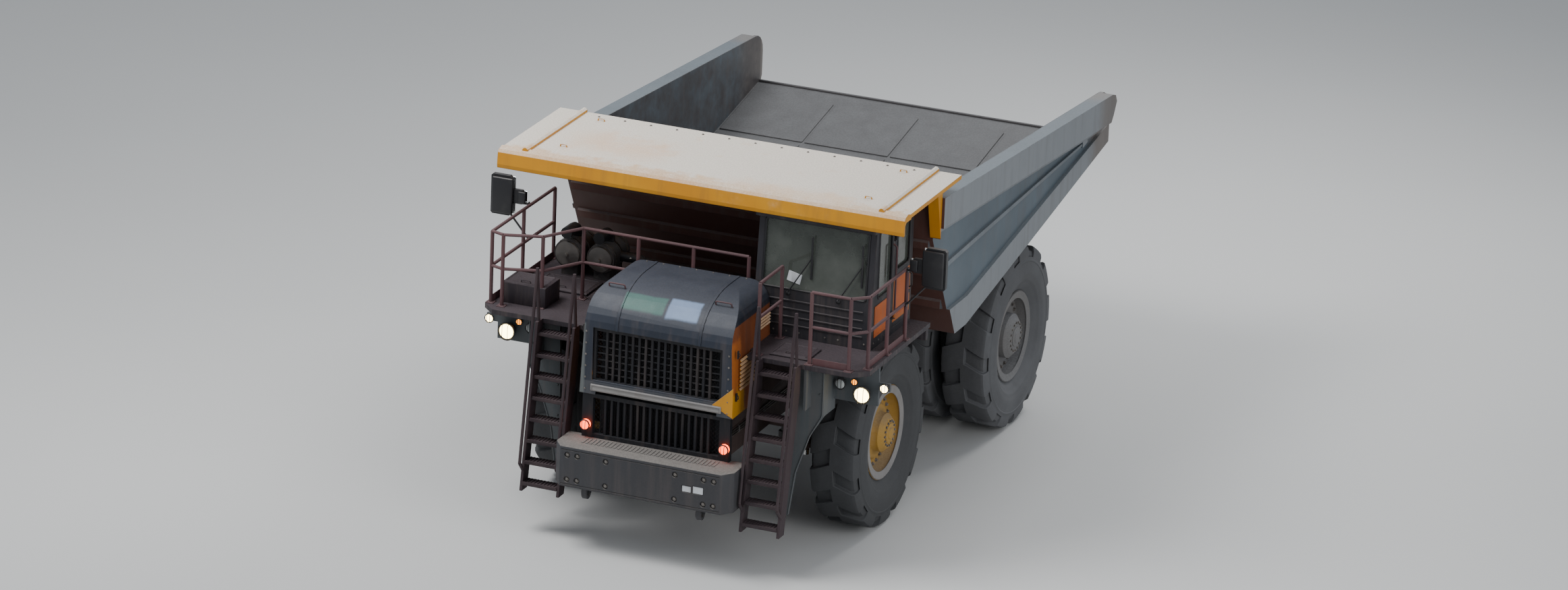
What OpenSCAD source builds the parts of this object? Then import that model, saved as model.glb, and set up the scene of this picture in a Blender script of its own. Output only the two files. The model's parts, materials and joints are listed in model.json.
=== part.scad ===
/* [Wheels and axles] */
// Distance between the front and the rear axle
wheelbase = 4570; // [4300:10:5000]
// Place of the front axle along the truck, the nose being at minus y
front_axle_y = -2250; // [-2400:10:-2150]
// Outer diameter of every tyre
tyre_d = 2700; // [2500:10:2760]
// Width of one tyre
tyre_w = 740; // [660:5:760]
// Diameter of the rim's bead seat
rim_d = 1245; // [1200:5:1300]
// Distance between the middles of the two front tyres
track_f = 4290; // [4200:10:4330]
// Distance of an inner rear tyre's middle from the centre line
dual_in_x = 1400; // [1380:5:1420]
// Distance of an outer rear tyre's middle from the centre line
dual_out_x = 2300; // [2250:5:2400]
// Depth of the tread blocks
lug_depth = 60; // [40:5:75]
// Number of tread blocks round one edge of a tyre
lug_count = 13; // [11:1:16]

/* [Steering] */
// Distance of a kingpin from the centre line
kingpin_x = 1350; // [1320:5:1380]
// Radius of the front strut's sliding rod, which is the kingpin
kingpin_r = 140; // [110:5:150]
// Length of the track arm behind the kingpin
track_arm = 450; // [430:5:480]
// Length of the cylinder arm ahead of the kingpin
ram_arm = 320; // [300:5:340]
// Height of the steering rods above the ground
link_z = 1010; // [980:5:1030]

/* [Frame] */
// Distance of a frame rail's middle from the centre line
rail_x = 500; // [480:5:520]
// Width of a frame rail
rail_w = 220; // [180:5:240]
// Height of the rails' lower edge at the front
rail_low = 1110; // [1090:5:1150]
// Height of the rails' top at the engine
rail_top_f = 1500; // [1450:10:1560]
// Height of the rails' top under the bed
rail_top_r = 2070; // [2050:5:2090]
// Place of the bed's pivot along the truck
pivot_y = 3650; // [3550:10:3700]
// Depth from the rails' rear top to the pivot, also the radius of the rails' ends
pivot_drop = 140; // [130:5:150]
// Radius of the bed's pivot pins
pivot_r = 60; // [40:5:80]

/* [Bumper and nose] */
// Half length of the truck from its middle to the bumper's face
nose_y = 5300; // [5200:10:5400]
// Half width of the bumper
bumper_hw = 1340; // [1250:10:1350]
// Height of the bumper's lower edge
bumper_low = 930; // [850:10:1000]
// Height of the bumper's top ledge
bumper_top = 1520; // [1500:5:1560]
// Place of the hood's front face along the truck
hood_y = -4830; // [-4860:5:-4800]
// Half width of the hood at its lower edge
hood_hw = 1150; // [1100:5:1160]
// Height of the hood's lower edge
hood_low = 2170; // [2100:10:2220]
// Height of the hood's top
hood_top = 3750; // [3700:10:3850]
// Thickness of the hood's plates
hood_wall = 30; // [20:2:40]
// Half width of the grille opening
grille_hw = 970; // [900:5:1000]
// Height of the grille opening's lower edge
grille_low = 2380; // [2330:10:2450]
// Height of the grille opening's upper edge
grille_top = 3150; // [3050:10:3150]

// Distance of a towing lug from the centre line
tow_x = 860; // [700:10:1000]
// Thickness of a towing lug
tow_t = 80; // [60:5:90]
// Radius of the towing lug's hole
tow_r = 45; // [35:1:50]

/* [Deck and cab] */
// Half width of the deck
deck_hw = 2900; // [2850:10:2950]
// Place of the deck's front edge
deck_front = -4400; // [-4430:5:-4380]
// Place of the deck's rear edge
deck_rear = -1960; // [-2000:5:-1940]
// Height of the deck's walking surface
deck_top = 2980; // [2960:5:3000]
// Thickness of the deck's plate
deck_t = 70; // [50:5:80]
// Side of the cab nearest the centre line
cab_in = 850; // [820:5:900]
// Width of the walkway outside the cab
walk_w = 300; // [280:5:340]
// Place of the cab's front
cab_front = -3450; // [-3460:5:-3400]
// Place of the cab's back
cab_rear = -1990; // [-2010:5:-1980]
// Gap between the cab's roof and the canopy above it
cab_gap = 160; // [140:5:200]
// Thickness of the cab's walls
cab_wall = 60; // [50:2:70]
// Width of the cab's door
door_w = 640; // [600:5:660]
// Height of the handrails above the deck
rail_h = 1050; // [950:10:1100]
// Radius of the handrails' tube
rail_r = 24; // [18:1:28]

/* [Bed] */
// Half width over the bed's top rails
bed_hw = 2960; // [2920:10:3000]
// Depth of the bed's top rails
rail_d = 560; // [480:10:600]
// Depth of the lower band along the bed's sides
band_d = 430; // [380:10:460]
// Place of the bed's tail
bed_tail = 5300; // [5200:10:5400]
// Height of the bed's top rail at its tail
bed_top_r = 4330; // [4280:10:4400]
// Height of the floor's lower face at its front
bed_low = 2440; // [2400:10:2480]
// Slope of the floor towards the tail in degrees
bed_slope = 10.9; // [9:0.1:12]
// Thickness of the bed's plates
bed_wall = 60; // [40:5:70]
// Half width of the canopy
canopy_hw = 3060; // [3020:10:3150]
// Place of the canopy's front lip
canopy_front = -3500; // [-3540:10:-3490]
// Height of the canopy's top
canopy_top = 5080; // [5060:5:5120]
// Height of the canopy's top above the front of the bed's top rails
canopy_rise = 320; // [300:5:340]

/* [Hoist] */
// Distance of a hoist from the centre line
hoist_x = 800; // [790:5:820]
// Place of the hoist's lower pin along the truck
hoist_low_y = 1400; // [1350:10:1450]
// Height of the hoist's lower pin
hoist_low_z = 960; // [940:5:1000]
// Place of the hoist's upper pin along the truck
hoist_up_y = 1200; // [1150:10:1250]
// Height of the hoist's upper pin
hoist_up_z = 2440; // [2420:5:2460]
// Outer radius of the hoist's barrel
hoist_r = 140; // [120:5:150]
// Radius of the hoist's lower pin
hoist_pin_r = 60; // [50:5:70]

/* [Hidden] */
$fn = 48;
// Gap between a curved face and what carries it
seat_gap = 0.3;
// Radial gap of a running fit
run_gap = 0.05;
rear_axle_y = front_axle_y + wheelbase;
axle_z = tyre_d / 2;
rail_in = rail_x - rail_w / 2;
rail_out = rail_x + rail_w / 2;
pivot_z = rail_top_r - pivot_drop;
cab_out = deck_hw - walk_w;
canopy_t = 60;
canopy_low = canopy_top - 2 * canopy_t;
cab_top = canopy_low - cab_gap;
bed_top_f = canopy_top - canopy_rise;
bed_side_x = bed_hw - 170;
handrail_x = deck_hw - 60;
beam_low = rail_top_r + 15;
floor_kink_y = -380;
bed_front_low_y = -820;
bed_front_top_y = -1760;
// Place and height of the bend in the bed's front wall
bed_bend_y = -1720;
bed_bend_z = 4100;
spindle_r = 110;
// Where the hood's sides step up on to the deck
hood_step_y = deck_front + 220;
axle_end_r = 200;
// Height of the steering cylinders
ram_z = link_z - 25;
tyre_x = track_f / 2;
// Distance of a tyre's bead from the tyre's middle
bead_x = tyre_w / 2 - 140;
rim_wall = 45;
flange_t = 32;
flange_h = 60;

// Height of the floor's lower face at a place along the truck
function floor_z(y) = bed_low + max(0, y - floor_kink_y) * tan(bed_slope);
// Height of the bed's top rail at a place along the truck
function top_z(y) = bed_top_f
    + (bed_top_r - bed_top_f) * (y - bed_front_top_y) / (bed_tail - bed_front_top_y);
// Place of the bed's front wall at a height below its bend
function wall_y(z) = bed_front_low_y
    + (bed_bend_y - bed_front_low_y) * (z - bed_low) / (bed_bend_z - bed_low);
// Points of an elliptic arc about c, from angle a to angle b
function arc(c, rx, ry, a, b, n) =
    [for (i = [0:n]) [c[0] + rx * cos(a + (b - a) * i / n), c[1] + ry * sin(a + (b - a) * i / n)]];

// A cylinder along x from x0 to x1
module bar_x(x0, x1, y, z, r, fn = 48) {
    translate([x0, y, z]) rotate([0, 90, 0]) cylinder(h = x1 - x0, r = r, $fn = fn);
}
// A profile in y and z, extruded along x from x0 to x1
module plate_x(x0, x1, pts) {
    translate([x0, 0, 0]) rotate([90, 0, 90]) linear_extrude(x1 - x0) polygon(pts);
}
// A profile in x and z, extruded along y from y0 to y1
module plate_y(y0, y1, pts) {
    translate([0, y1, 0]) rotate([90, 0, 0]) linear_extrude(y1 - y0) polygon(pts);
}
// A box between two corners
module block(a, b) {
    translate(a) cube(b - a);
}
// Both sides of something drawn on the truck's left
module both() {
    children();
    mirror([1, 0, 0]) children();
}
// A round bar between two points
module tube(a, b, r, fn = 8) {
    d = b - a;
    translate(a)
        rotate([0, acos(d[2] / norm(d)), atan2(d[1], d[0])])
            cylinder(h = norm(d), r = r, $fn = fn);
}

// Outline of a frame rail seen from the side, down to its pivot end
module rail_outline() {
    polygon(concat(
        [[-4700, rail_low], [-1200, rail_low], [200, rail_low + 220],
         [1500, pivot_z - pivot_drop], [pivot_y, pivot_z - pivot_drop]],
        arc([pivot_y, pivot_z], pivot_drop, pivot_drop, -90, 90, 10),
        [[-900, rail_top_r], [-1500, rail_top_r - 180], [-2700, rail_top_f], [-4700, rail_top_f]]));
}

// Ladder frame with its front tower, cross members and pivot ends
module frame() {
    tower_top = deck_top - deck_t;
    // Cross members: place along the truck, width along it, lower and upper height
    members = [[-4620, 140, rail_low + 60, rail_top_f - 60],
        [-560, 220, rail_top_r - 510, rail_top_r - 210], [900, 200, rail_top_r - 310, rail_top_r - 70],
        [3260, 260, rail_top_r - 250, rail_top_r - 30]];
    // Top of the hoists' hanging plates, just inside the rails' lower edge
    plate_top = pivot_z - pivot_drop + 10;
    color("#4a3f42") difference() {
        union() {
            both() translate([rail_in, 0, 0])
                rotate([90, 0, 90]) linear_extrude(rail_w) rail_outline();
            for (m = members)
                block([-rail_in, m[0] - m[1] / 2, m[2]], [rail_in, m[0] + m[1] / 2, m[3]]);
            // Front tower that carries the struts and the deck
            both() plate_y(front_axle_y - 240, front_axle_y + 180,
                [[rail_out, 1560], [kingpin_x - 260, 2180], [kingpin_x - 260, 2620],
                 [rail_in + 60, tower_top], [rail_in, tower_top], [rail_in, 1560]]);
            block([-rail_in, front_axle_y - 200, 2700], [rail_in, front_axle_y + 200, tower_top]);
            // Brackets of the steering cylinders
            both() block([rail_out, front_axle_y + 120, link_z + 110],
                [kingpin_x - 490, front_axle_y + 280, link_z + 170]);
            // Cross tube of the hoists
            bar_x(-hoist_x + 80, hoist_x - 80, hoist_low_y, hoist_low_z, 75);
            bar_x(-hoist_x - 85, hoist_x + 85, hoist_low_y, hoist_low_z, hoist_pin_r);
            // Posts under the rear of the deck
            both() plate_x(rail_in, rail_out, [[deck_rear - 160, rail_top_f + 100],
                [deck_rear - 20, rail_top_f + 150], [deck_rear - 20, tower_top],
                [deck_rear - 160, tower_top]]);
            both() plate_x(rail_in, rail_out, [[hoist_low_y - 260, plate_top], [hoist_low_y - 90, 900],
                [hoist_low_y + 90, 900], [hoist_low_y + 260, plate_top]]);
            // Rest pads of the bed
            for (y = [-700, 500, 1700, 2700])
                both() block([rail_in + 20, y - 120, rail_top_r - 20], [rail_out - 20, y + 120, beam_low]);
        }
        both() bar_x(rail_in - 10, rail_out + 10, pivot_y, pivot_z, pivot_r + run_gap);
    }
}

// Front bumper with its bevelled ends and the two towing lugs under it
module bumper() {
    back = -4700;
    bevel = [130, 170];
    color("#5a5456") {
        translate([0, 0, bumper_low]) linear_extrude(bumper_top - bumper_low)
            polygon([[-bumper_hw, back], [-bumper_hw, -nose_y + bevel[1]],
                [-bumper_hw + bevel[0], -nose_y], [bumper_hw - bevel[0], -nose_y],
                [bumper_hw, -nose_y + bevel[1]], [bumper_hw, back]]);
        both() difference() {
            plate_x(tow_x - tow_t / 2, tow_x + tow_t / 2, concat(
                [[-nose_y + 340, bumper_low + 5], [-nose_y + 60, bumper_low + 5]],
                arc([-nose_y + 150, bumper_low - 90], 90, 90, 180, 300, 8)));
            bar_x(tow_x - tow_t, tow_x + tow_t, -nose_y + 150, bumper_low - 90, tow_r);
        }
    }
}

// Engine and gearbox as plain masses, with the shaft to the rear axle
module powertrain() {
    color("#55524c") union() {
        // Radiator behind the grille
        block([-880, -4640, rail_top_f], [880, -4420, 3140]);
        block([-600, -4300, rail_top_f], [600, -2700, 2750]);
        block([-rail_in, -4300, rail_low + 20], [rail_in, -2700, rail_top_f]);
        block([-rail_in, -1500, rail_low + 60], [rail_in, -700, 1640]);
        translate([0, -2700, 1400]) rotate([-90, 0, 0]) cylinder(h = 1200, r = 75);
        translate([0, -700, 1400]) rotate([-90, 0, 0]) cylinder(h = rear_axle_y - 520 + 700, r = 90);
    }
}

// Solid form of the hood, made smaller all round by d
module hood_form(d) {
    round_y = 930;
    round_z = 600;
    side = concat([[cab_front + 10, hood_low - 1], [hood_y + d, hood_low - 1]],
        arc([hood_y + round_y, hood_top - round_z], round_y - d, round_z - d, 180, 90, 10),
        [[cab_front + 10, hood_top - d]]);
    corner = 300;
    hw_top = hood_hw - 60;
    front = concat([[-hood_hw + d, hood_low - 1]],
        [[-hw_top + d, hood_top - corner]],
        arc([-hw_top + corner, hood_top - corner], corner - d, corner - d, 180, 90, 6),
        arc([hw_top - corner, hood_top - corner], corner - d, corner - d, 90, 0, 6),
        [[hw_top - d + 1, hood_top - corner], [hood_hw - d, hood_low - 1]]);
    intersection() {
        plate_x(-hood_hw, hood_hw, side);
        plate_y(hood_y - 1, cab_front, front);
    }
}

// Engine hood: a shell with the grille opening in its nose
module hood() {
    color("#3b434e") difference() {
        intersection() {
            hood_form(0);
            block([-hood_hw - 1, hood_y - 1, hood_low], [hood_hw + 1, cab_front - 30, hood_top + 1]);
        }
        hood_form(hood_wall);
        block([-hood_hw - 5, hood_step_y, 0], [hood_hw + 5, cab_front, deck_top]);
        block([-grille_hw, hood_y - 5, grille_low], [grille_hw, hood_y + 200, grille_top]);
        block([-grille_hw + 60, hood_y - 5, hood_low - 5], [grille_hw - 60, hood_y + 200, hood_low + 60]);
    }
}

// Radiator grille and the lower guard, each a frame filled with bars
module grilles() {
    bar = 16;
    pitch = 97;
    low_z = bumper_top;
    color("#23262b") {
        difference() {
            block([-grille_hw + 2, hood_y + hood_wall, grille_low - 30],
                [grille_hw - 2, hood_y + 92, grille_top]);
            block([-grille_hw + 42, hood_y, grille_low + 10],
                [grille_hw - 42, hood_y + 100, grille_top - 50]);
        }
        for (z = [1 : 6])
            block([-grille_hw + 40, hood_y + 62, grille_low + z * pitch - 8],
                [grille_hw - 40, hood_y + 86, grille_low + z * pitch + 8]);
        for (x = [-8 : 8])
            block([x * pitch - bar, hood_y + 45, grille_low],
                [x * pitch + bar, hood_y + 80, grille_top - 20]);
        difference() {
            block([-hood_hw + 40, hood_y + hood_wall, low_z], [hood_hw - 40, hood_y + 110, hood_low]);
            block([-grille_hw + 20, hood_y, low_z + 60], [grille_hw - 20, hood_y + 200, hood_low - 60]);
        }
        for (x = [-8 : 8])
            block([x * pitch - bar, hood_y + 50, low_z + 50], [x * pitch + bar, hood_y + 90, hood_low - 50]);
    }
}

// Deck plate round the hood, with its edge beams and the posts under its rear
module deck() {
    edge = 60;
    color("#4d4448") difference() {
        union() {
            translate([0, 0, deck_top - deck_t]) linear_extrude(deck_t)
                polygon([[-deck_hw, deck_rear], [-deck_hw, deck_front + 200], [-deck_hw + 200, deck_front],
                    [deck_hw - 200, deck_front], [deck_hw, deck_front + 200], [deck_hw, deck_rear]]);
            both() block([rail_out, deck_rear - 100, deck_top - 240],
                [deck_hw - 20, deck_rear - 20, deck_top - deck_t]);
        }
        block([-hood_hw - 4, deck_front - 1, 0], [hood_hw + 4, hood_step_y, deck_top + 1]);
        block([-hood_hw + 130, deck_front - 1, 0], [hood_hw - 130, cab_front - 60, deck_top + 1]);
    }
}

// Aprons ahead of the front tyres, with the lamp panels set back under the deck
lamp_y = front_axle_y - 1540;
module fenders() {
    face_y = front_axle_y - 1870;
    t = 50;
    under = deck_top - deck_t;
    step_x = 2230;
    color("#6a6a6e") both() {
        plate_y(face_y - t, face_y, [[1760, under], [1690, 640], [1760, 640], [1850, 1300],
            [2040, 1870], [step_x, 2180], [step_x, under]]);
        // Inner wall beside the stairs and the return back to the lamp panel
        block([1995, deck_front + 40, 2300], [2035, face_y - t, under]);
        block([step_x - 40, face_y - 1, 2180], [step_x, lamp_y + 40, under]);
        block([step_x - 1, lamp_y, 2330], [deck_hw - 20, lamp_y + 40, under]);
        // Arm of the outer lamp
        block([deck_hw - 21, lamp_y, 2570], [deck_hw + 150, lamp_y + 40, 2680]);
    }
}

// Steep stairs on both sides of the nose
module stairs() {
    in_x = bumper_hw + 20;
    out_x = 1960;
    t = 40;
    foot = [-4870, 600];
    head = [deck_front, deck_top];
    steps = 8;
    function at(f) = foot + (head - foot) * f;
    color("#5b3a36") both() {
        for (x = [in_x, out_x - t])
            plate_x(x, x + t, [foot + [-90, 0], foot + [90, 0], head - [0, 400], head - [0, 2],
                head - [170, 2]]);
        for (i = [0 : steps - 1])
            translate([in_x + t - 2, at((i + 0.3) / steps)[0] - 110, at((i + 0.3) / steps)[1]])
                cube([out_x - in_x - 2 * t + 4, 220, 35]);
        block([bumper_hw, -4820, 1180], [in_x + 1, -4720, 1300]);
        // Hand rail of each stringer, through its corners in y and z
        path = [[foot[0] + 25, foot[1] + 230], [foot[0] - 150, foot[1] + 430],
            [head[0] - 190, head[1] + 800], [head[0] - 100, head[1] - 30]];
        for (x = [in_x + t / 2, out_x - t / 2], i = [0 : len(path) - 2])
            tube([x, path[i][0], path[i][1]], [x, path[i + 1][0], path[i + 1][1]], rail_r);
    }
}

// Handrails round the deck: rows of posts with a top and a middle rail
module handrails() {
    y0 = deck_front + 60;
    y1 = cab_front + 40;
    side = handrail_x;
    // Runs of rail: x and y of each end
    runs = [
        [[side, y0 + 200], [side, door_y0 - 110]],
        [[2060, y0], [side - 200, y0]],
        [[side - 200, y0], [side, y0 + 200]],
        [[-side, y0 + 200], [-side, deck_rear - 60]],
        [[-side, y0 + 200], [-side + 200, y0 + 130]],
        [[-side + 200, y0 + 130], [-2120, y0 + 320]],
        [[-2120, y0 + 320], [-1770, y1]],
        [[-1770, y1], [cab_in - 120, y1]],
        [[1290, y0], [1290, cab_front - 100]]];
    color("#7c4a44") for (r = runs) {
        n = max(1, round(norm(r[1] - r[0]) / 900));
        for (i = [0 : n]) {
            p = r[0] + (r[1] - r[0]) * i / n;
            translate([p[0], p[1], deck_top]) rotate(22.5) cylinder(h = rail_h, r = rail_r + 3, $fn = 8);
        }
        for (z = [rail_h * 0.52, rail_h])
            tube([r[0][0], r[0][1], deck_top + z], [r[1][0], r[1][1], deck_top + z], rail_r);
    }
}

// Head lamps on their panels under the deck: round bowls with a flat lens
module headlamps() {
    // Lamps on each side: distance from the centre line, height, radius
    lamps = [[deck_hw - 560, 2590, 75], [deck_hw - 365, 2640, 45], [deck_hw - 215, 2500, 120],
        [deck_hw + 85, 2625, 62]];
    color("#f4ecd0") both() for (l = lamps)
        translate([l[0], lamp_y, l[1]]) rotate([90, 0, 0]) rotate_extrude($fn = 40)
            polygon([[0, 0], [l[2] * 0.55, 0], [l[2] * 0.85, l[2] * 0.35], [l[2], l[2] * 0.8],
                [l[2], l[2] * 0.95], [0, l[2] * 1.05]]);
}

// Marker lamps on the lower guard
module marker_lamps() {
    color("#d8401c") both()
        translate([1045, hood_y + hood_wall, 1710]) rotate([90, 0, 0]) cylinder(h = 60, r = 70);
}

// Outline of the cab's side in y and z, made smaller by d
function cab_side(d) = [[cab_rear - d, deck_top + d], [cab_front + d, deck_top + d],
    [cab_front + d, 3650], [cab_front + 90 + d, cab_top - 60 - d], [cab_rear - d, cab_top - 60 - d]];
// Edges of the door opening along the truck
door_y1 = cab_rear - 40;
door_y0 = door_y1 - door_w;
door_z0 = deck_top + 90;
door_z1 = cab_top - 180;
// Door hinges: their axis, heights, pin and the height of a knuckle
hinge_x = cab_out + 26;
hinge_y = door_y0 - 4;
hinge_zs = [door_z0 + 200, door_z1 - 200];
hinge_r = 12;
knuckle_h = 72;

// Cab body: a hollow shell with its windows and the door opening cut
module cab_shell() {
    sill = 3680;
    head = cab_top - 150;
    mid = door_y0 - 110;
    color("#3a3c40") {
        difference() {
            plate_x(cab_in, cab_out, cab_side(0));
            plate_x(cab_in + cab_wall, cab_out - cab_wall, cab_side(cab_wall));
            // The roof is a panel of its own
            block([cab_in - 1, cab_front - 1, cab_top - 120], [cab_out + 1, cab_rear + 1, cab_top + 1]);
            // Windscreen, rear window, inner window, outer window and door
            block([cab_in + 90, cab_front - 10, sill], [cab_out - 90, cab_front + 200, head]);
            block([cab_in + 250, cab_rear - 100, 3900], [cab_out - 250, cab_rear + 10, head - 60]);
            block([cab_in - 10, cab_front + 260, 3900], [cab_in + 100, cab_rear - 160, head]);
            block([cab_out - 100, cab_front + 190, sill], [cab_out + 10, mid, head]);
            block([cab_out - 100, door_y0, door_z0], [cab_out + 10, door_y1, door_z1]);
        }
        // Ears and pins of the door's hinges
        for (z = hinge_zs) {
            for (s = [-1, 1])
                translate([0, 0, z + s * (knuckle_h / 2 + 8)]) {
                    block([cab_out, hinge_y - 50, -7.5], [hinge_x + 4, hinge_y, 7.5]);
                    translate([hinge_x, hinge_y, 0]) cylinder(h = 15, r = hinge_r + 6, center = true);
                }
            translate([hinge_x, hinge_y, z]) cylinder(h = knuckle_h + 30, r = hinge_r, center = true);
        }
    }
}

// Cab roof: a crowned slab with a small overhang over the windscreen
module cab_roof() {
    color("#c98a1a")
        plate_x(cab_in - 20, cab_out + 15, [[cab_rear + 5, cab_top - 120], [cab_front - 20, cab_top - 120],
            [cab_front - 20, cab_top - 70], [cab_front + 60, cab_top], [cab_rear - 60, cab_top],
            [cab_rear + 5, cab_top - 30]]);
}

// Fixed panes of the cab
module cab_glass() {
    sill = 3680;
    head = cab_top - 150;
    mid = door_y0 - 110;
    t = 10;
    color("#5f7479", 0.6) {
        intersection() {
            plate_x(cab_in + 90, cab_out - 90, [[cab_front + 20, 3500], [cab_front + 20, 3650],
                [cab_front + 112, cab_top], [cab_front + 122, cab_top], [cab_front + 30, 3650],
                [cab_front + 30, 3500]]);
            block([cab_in, cab_front - 10, sill], [cab_out, cab_front + 300, head]);
        }
        block([cab_in + 250, cab_rear - 35, 3900], [cab_out - 250, cab_rear - 35 + t, head - 60]);
        block([cab_in + 25, cab_front + 260, 3900], [cab_in + 25 + t, cab_rear - 160, head]);
        block([cab_out - 35, cab_front + 190, sill], [cab_out - 35 + t, mid, head]);
    }
}

// Driver's seat, dash and steering wheel
module cab_interior() {
    mid_x = 1700;
    floor = deck_top + cab_wall;
    color("#2e2c2c") {
        block([mid_x - 150, -2750, floor], [mid_x + 150, -2400, floor + 300]);
        block([mid_x - 260, -2850, floor + 300], [mid_x + 260, -2320, floor + 440]);
        plate_x(mid_x - 240, mid_x + 240, [[-2450, floor + 440], [-2330, floor + 440],
            [-2230, floor + 1080], [-2330, floor + 1080]]);
        plate_x(cab_in + cab_wall, cab_out - cab_wall - 200, [[cab_front + cab_wall, floor],
            [cab_front + 260, floor], [cab_front + 340, floor + 480], [cab_front + cab_wall, floor + 560]]);
        tube([mid_x, cab_front + 300, floor + 470], [mid_x, cab_front + 470, floor + 640], 28);
        translate([mid_x, cab_front + 480, floor + 650]) rotate([-45, 0, 0])
            rotate_extrude($fn = 32) translate([190, 0]) circle(r = 18, $fn = 12);
        translate([mid_x, cab_front + 480, floor + 650]) rotate([-45, 0, 0]) {
            translate([-190, -15, -12]) cube([380, 30, 24]);
            cylinder(h = 40, r = 50, center = true, $fn = 24);
        }
    }
}

// Cab door, hinged at its front edge
module cab_door() {
    g = 8;
    latch_gap = 13;
    t = cab_wall;
    color("#d1661c") difference() {
        union() {
            block([cab_out - t, door_y0 + g, door_z0 + g], [cab_out, door_y1 - latch_gap, door_z1 - g]);
            for (z = hinge_zs) translate([0, 0, z - knuckle_h / 2]) {
                translate([hinge_x, hinge_y, 0]) cylinder(h = knuckle_h, r = hinge_r + 10);
                block([cab_out, hinge_y + 14, 0], [cab_out + 14, hinge_y + 110, knuckle_h]);
                block([cab_out + 4, hinge_y, 0], [hinge_x, hinge_y + 20, knuckle_h]);
            }
        }
        block([cab_out - 100, door_y0 + 90, 3900], [cab_out + 10, door_y1 - 90, door_z1 - 90]);
        for (z = hinge_zs)
            translate([hinge_x, hinge_y, z])
                cylinder(h = 2 * knuckle_h, r = hinge_r + run_gap, center = true);
    }
}

// Pane of the cab's door
module door_glass() {
    color("#5f7479", 0.6)
        block([cab_out - 35, door_y0 + 90, 3900], [cab_out - 25, door_y1 - 90, door_z1 - 90]);
}

// Mirrors on two arms each, clamped to the deck's outer rails
module mirrors() {
    y = door_y0 - 180;
    x = deck_hw + 400;
    z = deck_top + 1150;
    clamp_x = handrail_x + rail_r + seat_gap;
    color("#1d1d20") both() {
        for (rail_z = [deck_top + rail_h * 0.52, deck_top + rail_h]) {
            block([clamp_x, y - 28, rail_z - 30], [clamp_x + 16, y + 28, rail_z + 30]);
            tube([clamp_x + 10, y, rail_z], [x, y, z - 120], 15);
        }
        plate_y(y - 35, y + 35, [[x - 140, z - 310], [x + 120, z - 310], [x + 145, z - 285],
            [x + 145, z + 255], [x + 120, z + 280], [x - 140, z + 280], [x - 165, z + 255],
            [x - 165, z - 285]]);
        // Small wide-angle mirror on the upper arm
        plate_y(y - 25, y + 25, [[x - 330, z - 115], [x - 215, z - 115], [x - 200, z - 100],
            [x - 200, z + 80], [x - 215, z + 95], [x - 330, z + 95], [x - 345, z + 80],
            [x - 345, z - 100]]);
    }
}

// Air cleaner drums on the right of the deck
module air_cleaners() {
    r = 210;
    color("#46484c") for (x = [550, 1050] - [deck_hw, deck_hw]) {
        translate([x, -2620, deck_top + 330]) rotate([-90, 0, 0]) cylinder(h = 560, r = r);
        block([x - 120, -2560, deck_top], [x + 120, -2120, deck_top + 160]);
    }
}

// Fuel tank on the right and oil tank on the left, between the axles
module tanks() {
    y0 = -330;
    y1 = 800;
    r = 60;
    color("#5d4a46") both() {
        plate_y(y0, y1, concat(
            arc([1500 - r, 1000 + r], r, r, -90, 0, 4), arc([1500 - r, 1950 - r], r, r, 0, 90, 4),
            arc([rail_out + 60 + r, 1950 - r], r, r, 90, 180, 4),
            arc([rail_out + 60 + r, 1000 + r], r, r, 180, 270, 4)));
        for (y = [y0 + 200, y1 - 320])
            block([rail_out, y, 1500], [rail_out + 60, y + 120, 1900]);
    }
}

// Front strut housings and rear suspension struts
module struts() {
    color("#6b6155") both() {
        difference() {
            translate([kingpin_x, front_axle_y, 1700]) cylinder(h = 960, r = 190);
            translate([kingpin_x, front_axle_y, 1690]) cylinder(h = 700, r = kingpin_r + run_gap);
        }
        block([kingpin_x - 260, front_axle_y - 150, 2200], [kingpin_x - 150, front_axle_y + 150, 2600]);
        // Rear struts between the axle housing and the rails
        translate([700, rear_axle_y + 420, 1480]) cylinder(h = 500, r = 85);
        translate([700, rear_axle_y + 420, 1250]) cylinder(h = 230, r = 110);
        block([rail_out, rear_axle_y + 330, 1840], [770, rear_axle_y + 510, 1980]);
    }
}

// Rear axle: banjo housing turned round its own axis, spindles and the pinion nose
module rear_axle() {
    // Turned profile: distance from the centre line and radius
    half = [[0, 400], [130, 385], [300, 300], [420, 270], [880, 270], [960, axle_end_r + 40],
        [1000, axle_end_r], [dual_out_x, axle_end_r]];
    back = [for (i = [len(half) - 1 : -1 : 1]) [-half[i][0], half[i][1]]];
    color("#57504a") {
        translate([0, rear_axle_y, axle_z]) rotate([0, 90, 0]) rotate_extrude($fn = 64)
            polygon([for (p = concat([[-dual_out_x, 0]], back, half, [[dual_out_x, 0]])) [p[1], p[0]]]);
        translate([0, rear_axle_y - 520, axle_z]) rotate([-90, 0, 0]) cylinder(h = 300, r = 190);
        both() block([600, rear_axle_y + 200, 1190], [830, rear_axle_y + 540, 1250]);
    }
}

// Knuckle on the truck's left: rod, spindle and the two steering arms
module knuckle() {
    plate_low = 1060;
    color("#5c564e") {
        translate([kingpin_x, front_axle_y, plate_low]) cylinder(h = 1200, r = kingpin_r);
        bar_x(kingpin_x, tyre_x - 60, front_axle_y, axle_z, 180);
        bar_x(kingpin_x, tyre_x + 170, front_axle_y, axle_z, spindle_r);
        for (end = [track_arm, -ram_arm]) {
            translate([kingpin_x - 90, min(0, end) + front_axle_y, plate_low]) cube([180, abs(end), 60]);
            translate([kingpin_x, front_axle_y + end, plate_low]) cylinder(h = 60, r = 90);
        }
        translate([kingpin_x, front_axle_y + track_arm, link_z - 45])
            cylinder(h = plate_low - link_z + 60, r = 30);
        translate([kingpin_x, front_axle_y - ram_arm, ram_z + 41])
            cylinder(h = plate_low - ram_z - 40, r = 50);
    }
}
module knuckle_left() { knuckle(); }
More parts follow.
